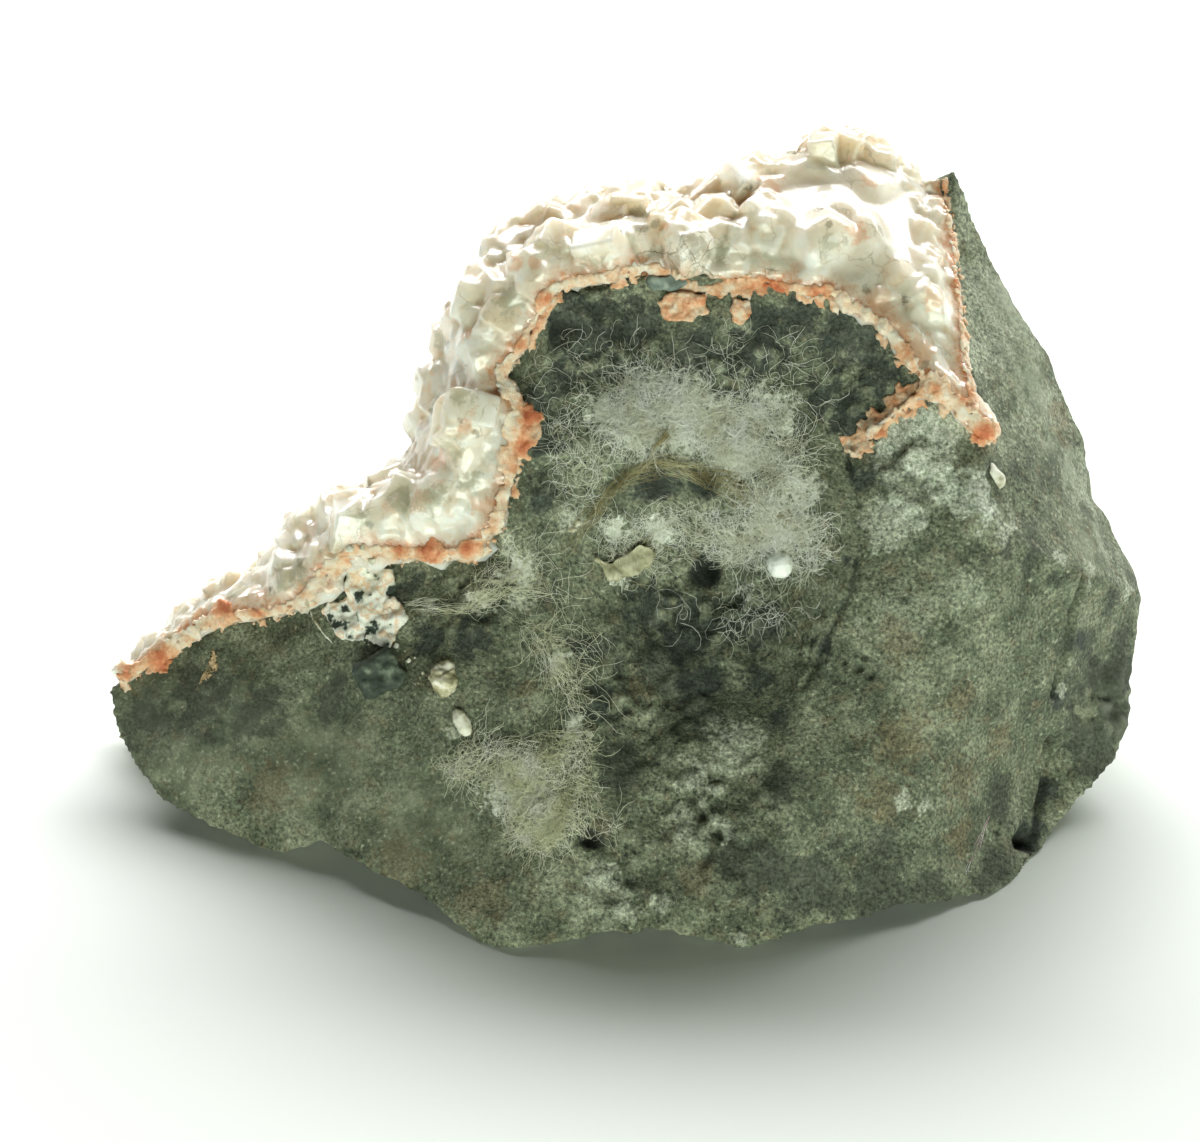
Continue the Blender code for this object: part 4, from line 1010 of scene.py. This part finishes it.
# ---- Small minerals --------------------------------------------------------------------------
# Fillings of gas bubbles and scraps of vein in the broken front. They are chalky or waxy lumps,
# each with its own colours.
FILLING_TONES = {
    "chalky_zeolite": ((0.38, "#39443c"), (0.43, "#dfe2d4"), (0.52, "#fbfaf2"), (0.58, "#efd0ae"),
                       (0.64, "#f8f1e0")),
    "cream_zeolite": ((0.35, "#b0a888"), (0.5, "#e2e2d0"), (0.65, "#f4f4ea")),
    "green_zeolite": ((0.3, "#262e27"), (0.5, "#424d42"), (0.7, "#8a9782")),
    "grey_zeolite": ((0.3, "#4c5850"), (0.5, "#74827a"), (0.7, "#aab5a8")),
    "tan_zeolite": ((0.38, "#a8906a"), (0.5, "#d2b48a"), (0.62, "#e4cba6")),
    "khaki_zeolite": ((0.36, "#8f8a68"), (0.5, "#cbc6a6"), (0.6, "#efecdf")),
    "white_grain": ((0.3, "#e6eee6"), (0.6, "#fafcf8")),
    "khaki_flake": ((0.3, "#8e8c6c"), (0.5, "#b2b090"), (0.7, "#d0ceb4")),
}
# Each one's finish, slot, relief as sizes and depths in mm, and mm between its surface points.
MINERALS = {
    "zeolite_pocket": ("chalky_zeolite", "white_zeolite", ((2.6, 0.8), (1.1, 0.45), (0.5, 0.15)), 0.2),
    "cream_sliver": ("cream_zeolite", "white_zeolite", ((1.2, 0.2),), 0.15),
    "amygdule_upper": ("khaki_zeolite", "white_zeolite", ((1.5, 0.7), (0.6, 0.3)), 0.13),
    "amygdule_lower": ("cream_zeolite", "white_zeolite", ((1.2, 0.2), (0.5, 0.06)), 0.12),
    "green_crystal": ("green_zeolite", "green_zeolite", ((1.5, 0.35), (0.6, 0.15)), 0.16),
    "grey_nodule": ("grey_zeolite", "green_zeolite", ((1.5, 0.25),), 0.15),
    "salmon_patch_left": ("salmon_stilbite", "stilbite", ((1.2, 0.45), (0.5, 0.2)), 0.15),
    "salmon_patch_right": ("salmon_stilbite", "stilbite", ((1.2, 0.4), (0.5, 0.2)), 0.15),
    "peach_sliver": ("tan_zeolite", "stilbite", ((0.8, 0.16), (0.4, 0.08)), 0.12),
    "white_bead": ("white_grain", "bead", ((1, 0.12), (0.3, 0.05)), 0.12),
    "khaki_flake": ("khaki_flake", "flake", ((1.6, 0.6), (0.6, 0.2)), 0.13),
}
# Crumbs of the white filling: (u, v, radius in mm), and a run for the thin white rim on its left.
CRUMBS = ((396, 646, 0.5), (405, 651, 0.25), (409, 661, 0.5), (415, 658, 0.2), (423, 673, 0.4),
          (391, 638, 0.7), (372, 560, 0.7), (380, 575, 0.6), (350, 548, 0.7), (362, 548, 0.6),
          (572, 528, 0.8), (578, 522, 0.5))
RIM = ((306, 592), (308, 604), (313, 618), (322, 632), (334, 645))
RIM_CRUMB = 0.22  # mm
RIM_STEP = 2.5  # pixels between the rim's crumbs
CRUMB_STRETCH = 0.3  # how far a crumb is drawn out from the rock, as a share of its radius
CRUMB_MESH = 0.15  # mm between surface points
CRUMB_RELIEF = ((0.7, 0.2),)


def crumb_mesh():
    """The crumbs and the rim, as small lumps on the rock."""
    chance = random.Random(SEED + 2)
    corners, faces = [], []
    for u, v, radius in (*CRUMBS, *((*place, RIM_CRUMB) for place, _ in walk(RIM, RIM_STEP))):
        centre, out = carried(u, v, front_tree)
        join_on(corners, faces, *blade(centre, radius * MM, out * radius * CRUMB_STRETCH * MM, chance))
    mesh = evened(mesh_of(corners, faces), CRUMB_MESH, smoothing=2)
    push(mesh, waves(points_of(mesh), CRUMB_RELIEF, seed=9))
    return mesh


# Zeolites, grown as powdery or waxy fillings, and the packing grain and flake: all dull.
fillings = {name: matt(name, tones, roughness=0.75, size=1.6, detail=4, rough=0.5)
            for name, tones in FILLING_TONES.items()}
fillings["salmon_stilbite"] = salmon
set_piece("zeolite_crumbs", crumb_mesh(), fillings["cream_zeolite"], "white_zeolite")
for node, (finish, slot, layers, spacing) in MINERALS.items():
    mesh = evened(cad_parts[node].data.copy(), spacing, smoothing=3)
    push(mesh, waves(points_of(mesh), layers, seed=31))
    set_piece(node + "_surface", mesh, fillings[finish], slot, node)


# ---- Floor and light -------------------------------------------------------------------------
# A plain white table under a wide soft light from above and behind, so that the table is nearly
# white and the shadow falls forward. Weak lamps in front and on the right fill the dark side.
FLOOR_HALF = 1.5  # metres
# Lamps: place, width and height in metres, power in watts, colour.
LAMPS = {
    "window": ((0.06, 0.6, 0.54), 1.35, 0.26, 20.5, "#ffffff"),
    "front": ((0.1, -0.8, 0.09), 0.9, 0.16, 5.8, "#f6ffee"),
    "right": ((0.6, 0.3, 0.3), 0.3, 0.2, 0.6, "#f6ffee"),
}
ROOM_LIGHT = ("#dcf0bc", 0.02)  # colour and strength

corners = [(x * FLOOR_HALF, y * FLOOR_HALF, 0) for x, y in ((-1, -1), (1, -1), (1, 1), (-1, 1))]
floor = bpy.data.objects.new("floor", mesh_of(corners, [(0, 1, 2, 3)]))
bpy.context.scene.collection.objects.link(floor)
# White card, uncoated: even and without shine.
card, _ = new_material("white_card", {"Roughness": 0.9, "Base Color": linear("#e6ebe6")})
floor.data.materials.append(card)

for name, (place, width, height, power, colour) in LAMPS.items():
    light = bpy.data.lights.new(name, "AREA")
    light.shape, light.size, light.size_y = "RECTANGLE", width, height
    light.energy, light.color = power, linear(colour)[:3]
    stand = bpy.data.objects.new(name, light)
    stand.location = place
    stand.rotation_euler = (looked_at - Vector(place)).to_track_quat("-Z", "Y").to_euler()
    bpy.context.scene.collection.objects.link(stand)

world = bpy.data.worlds.new("studio")
world.use_nodes = True
background = world.node_tree.nodes["Background"]
background.inputs["Color"].default_value = linear(ROOM_LIGHT[0])
background.inputs["Strength"].default_value = ROOM_LIGHT[1]
bpy.context.scene.world = world
bpy.context.scene.view_settings.view_transform = "Standard"
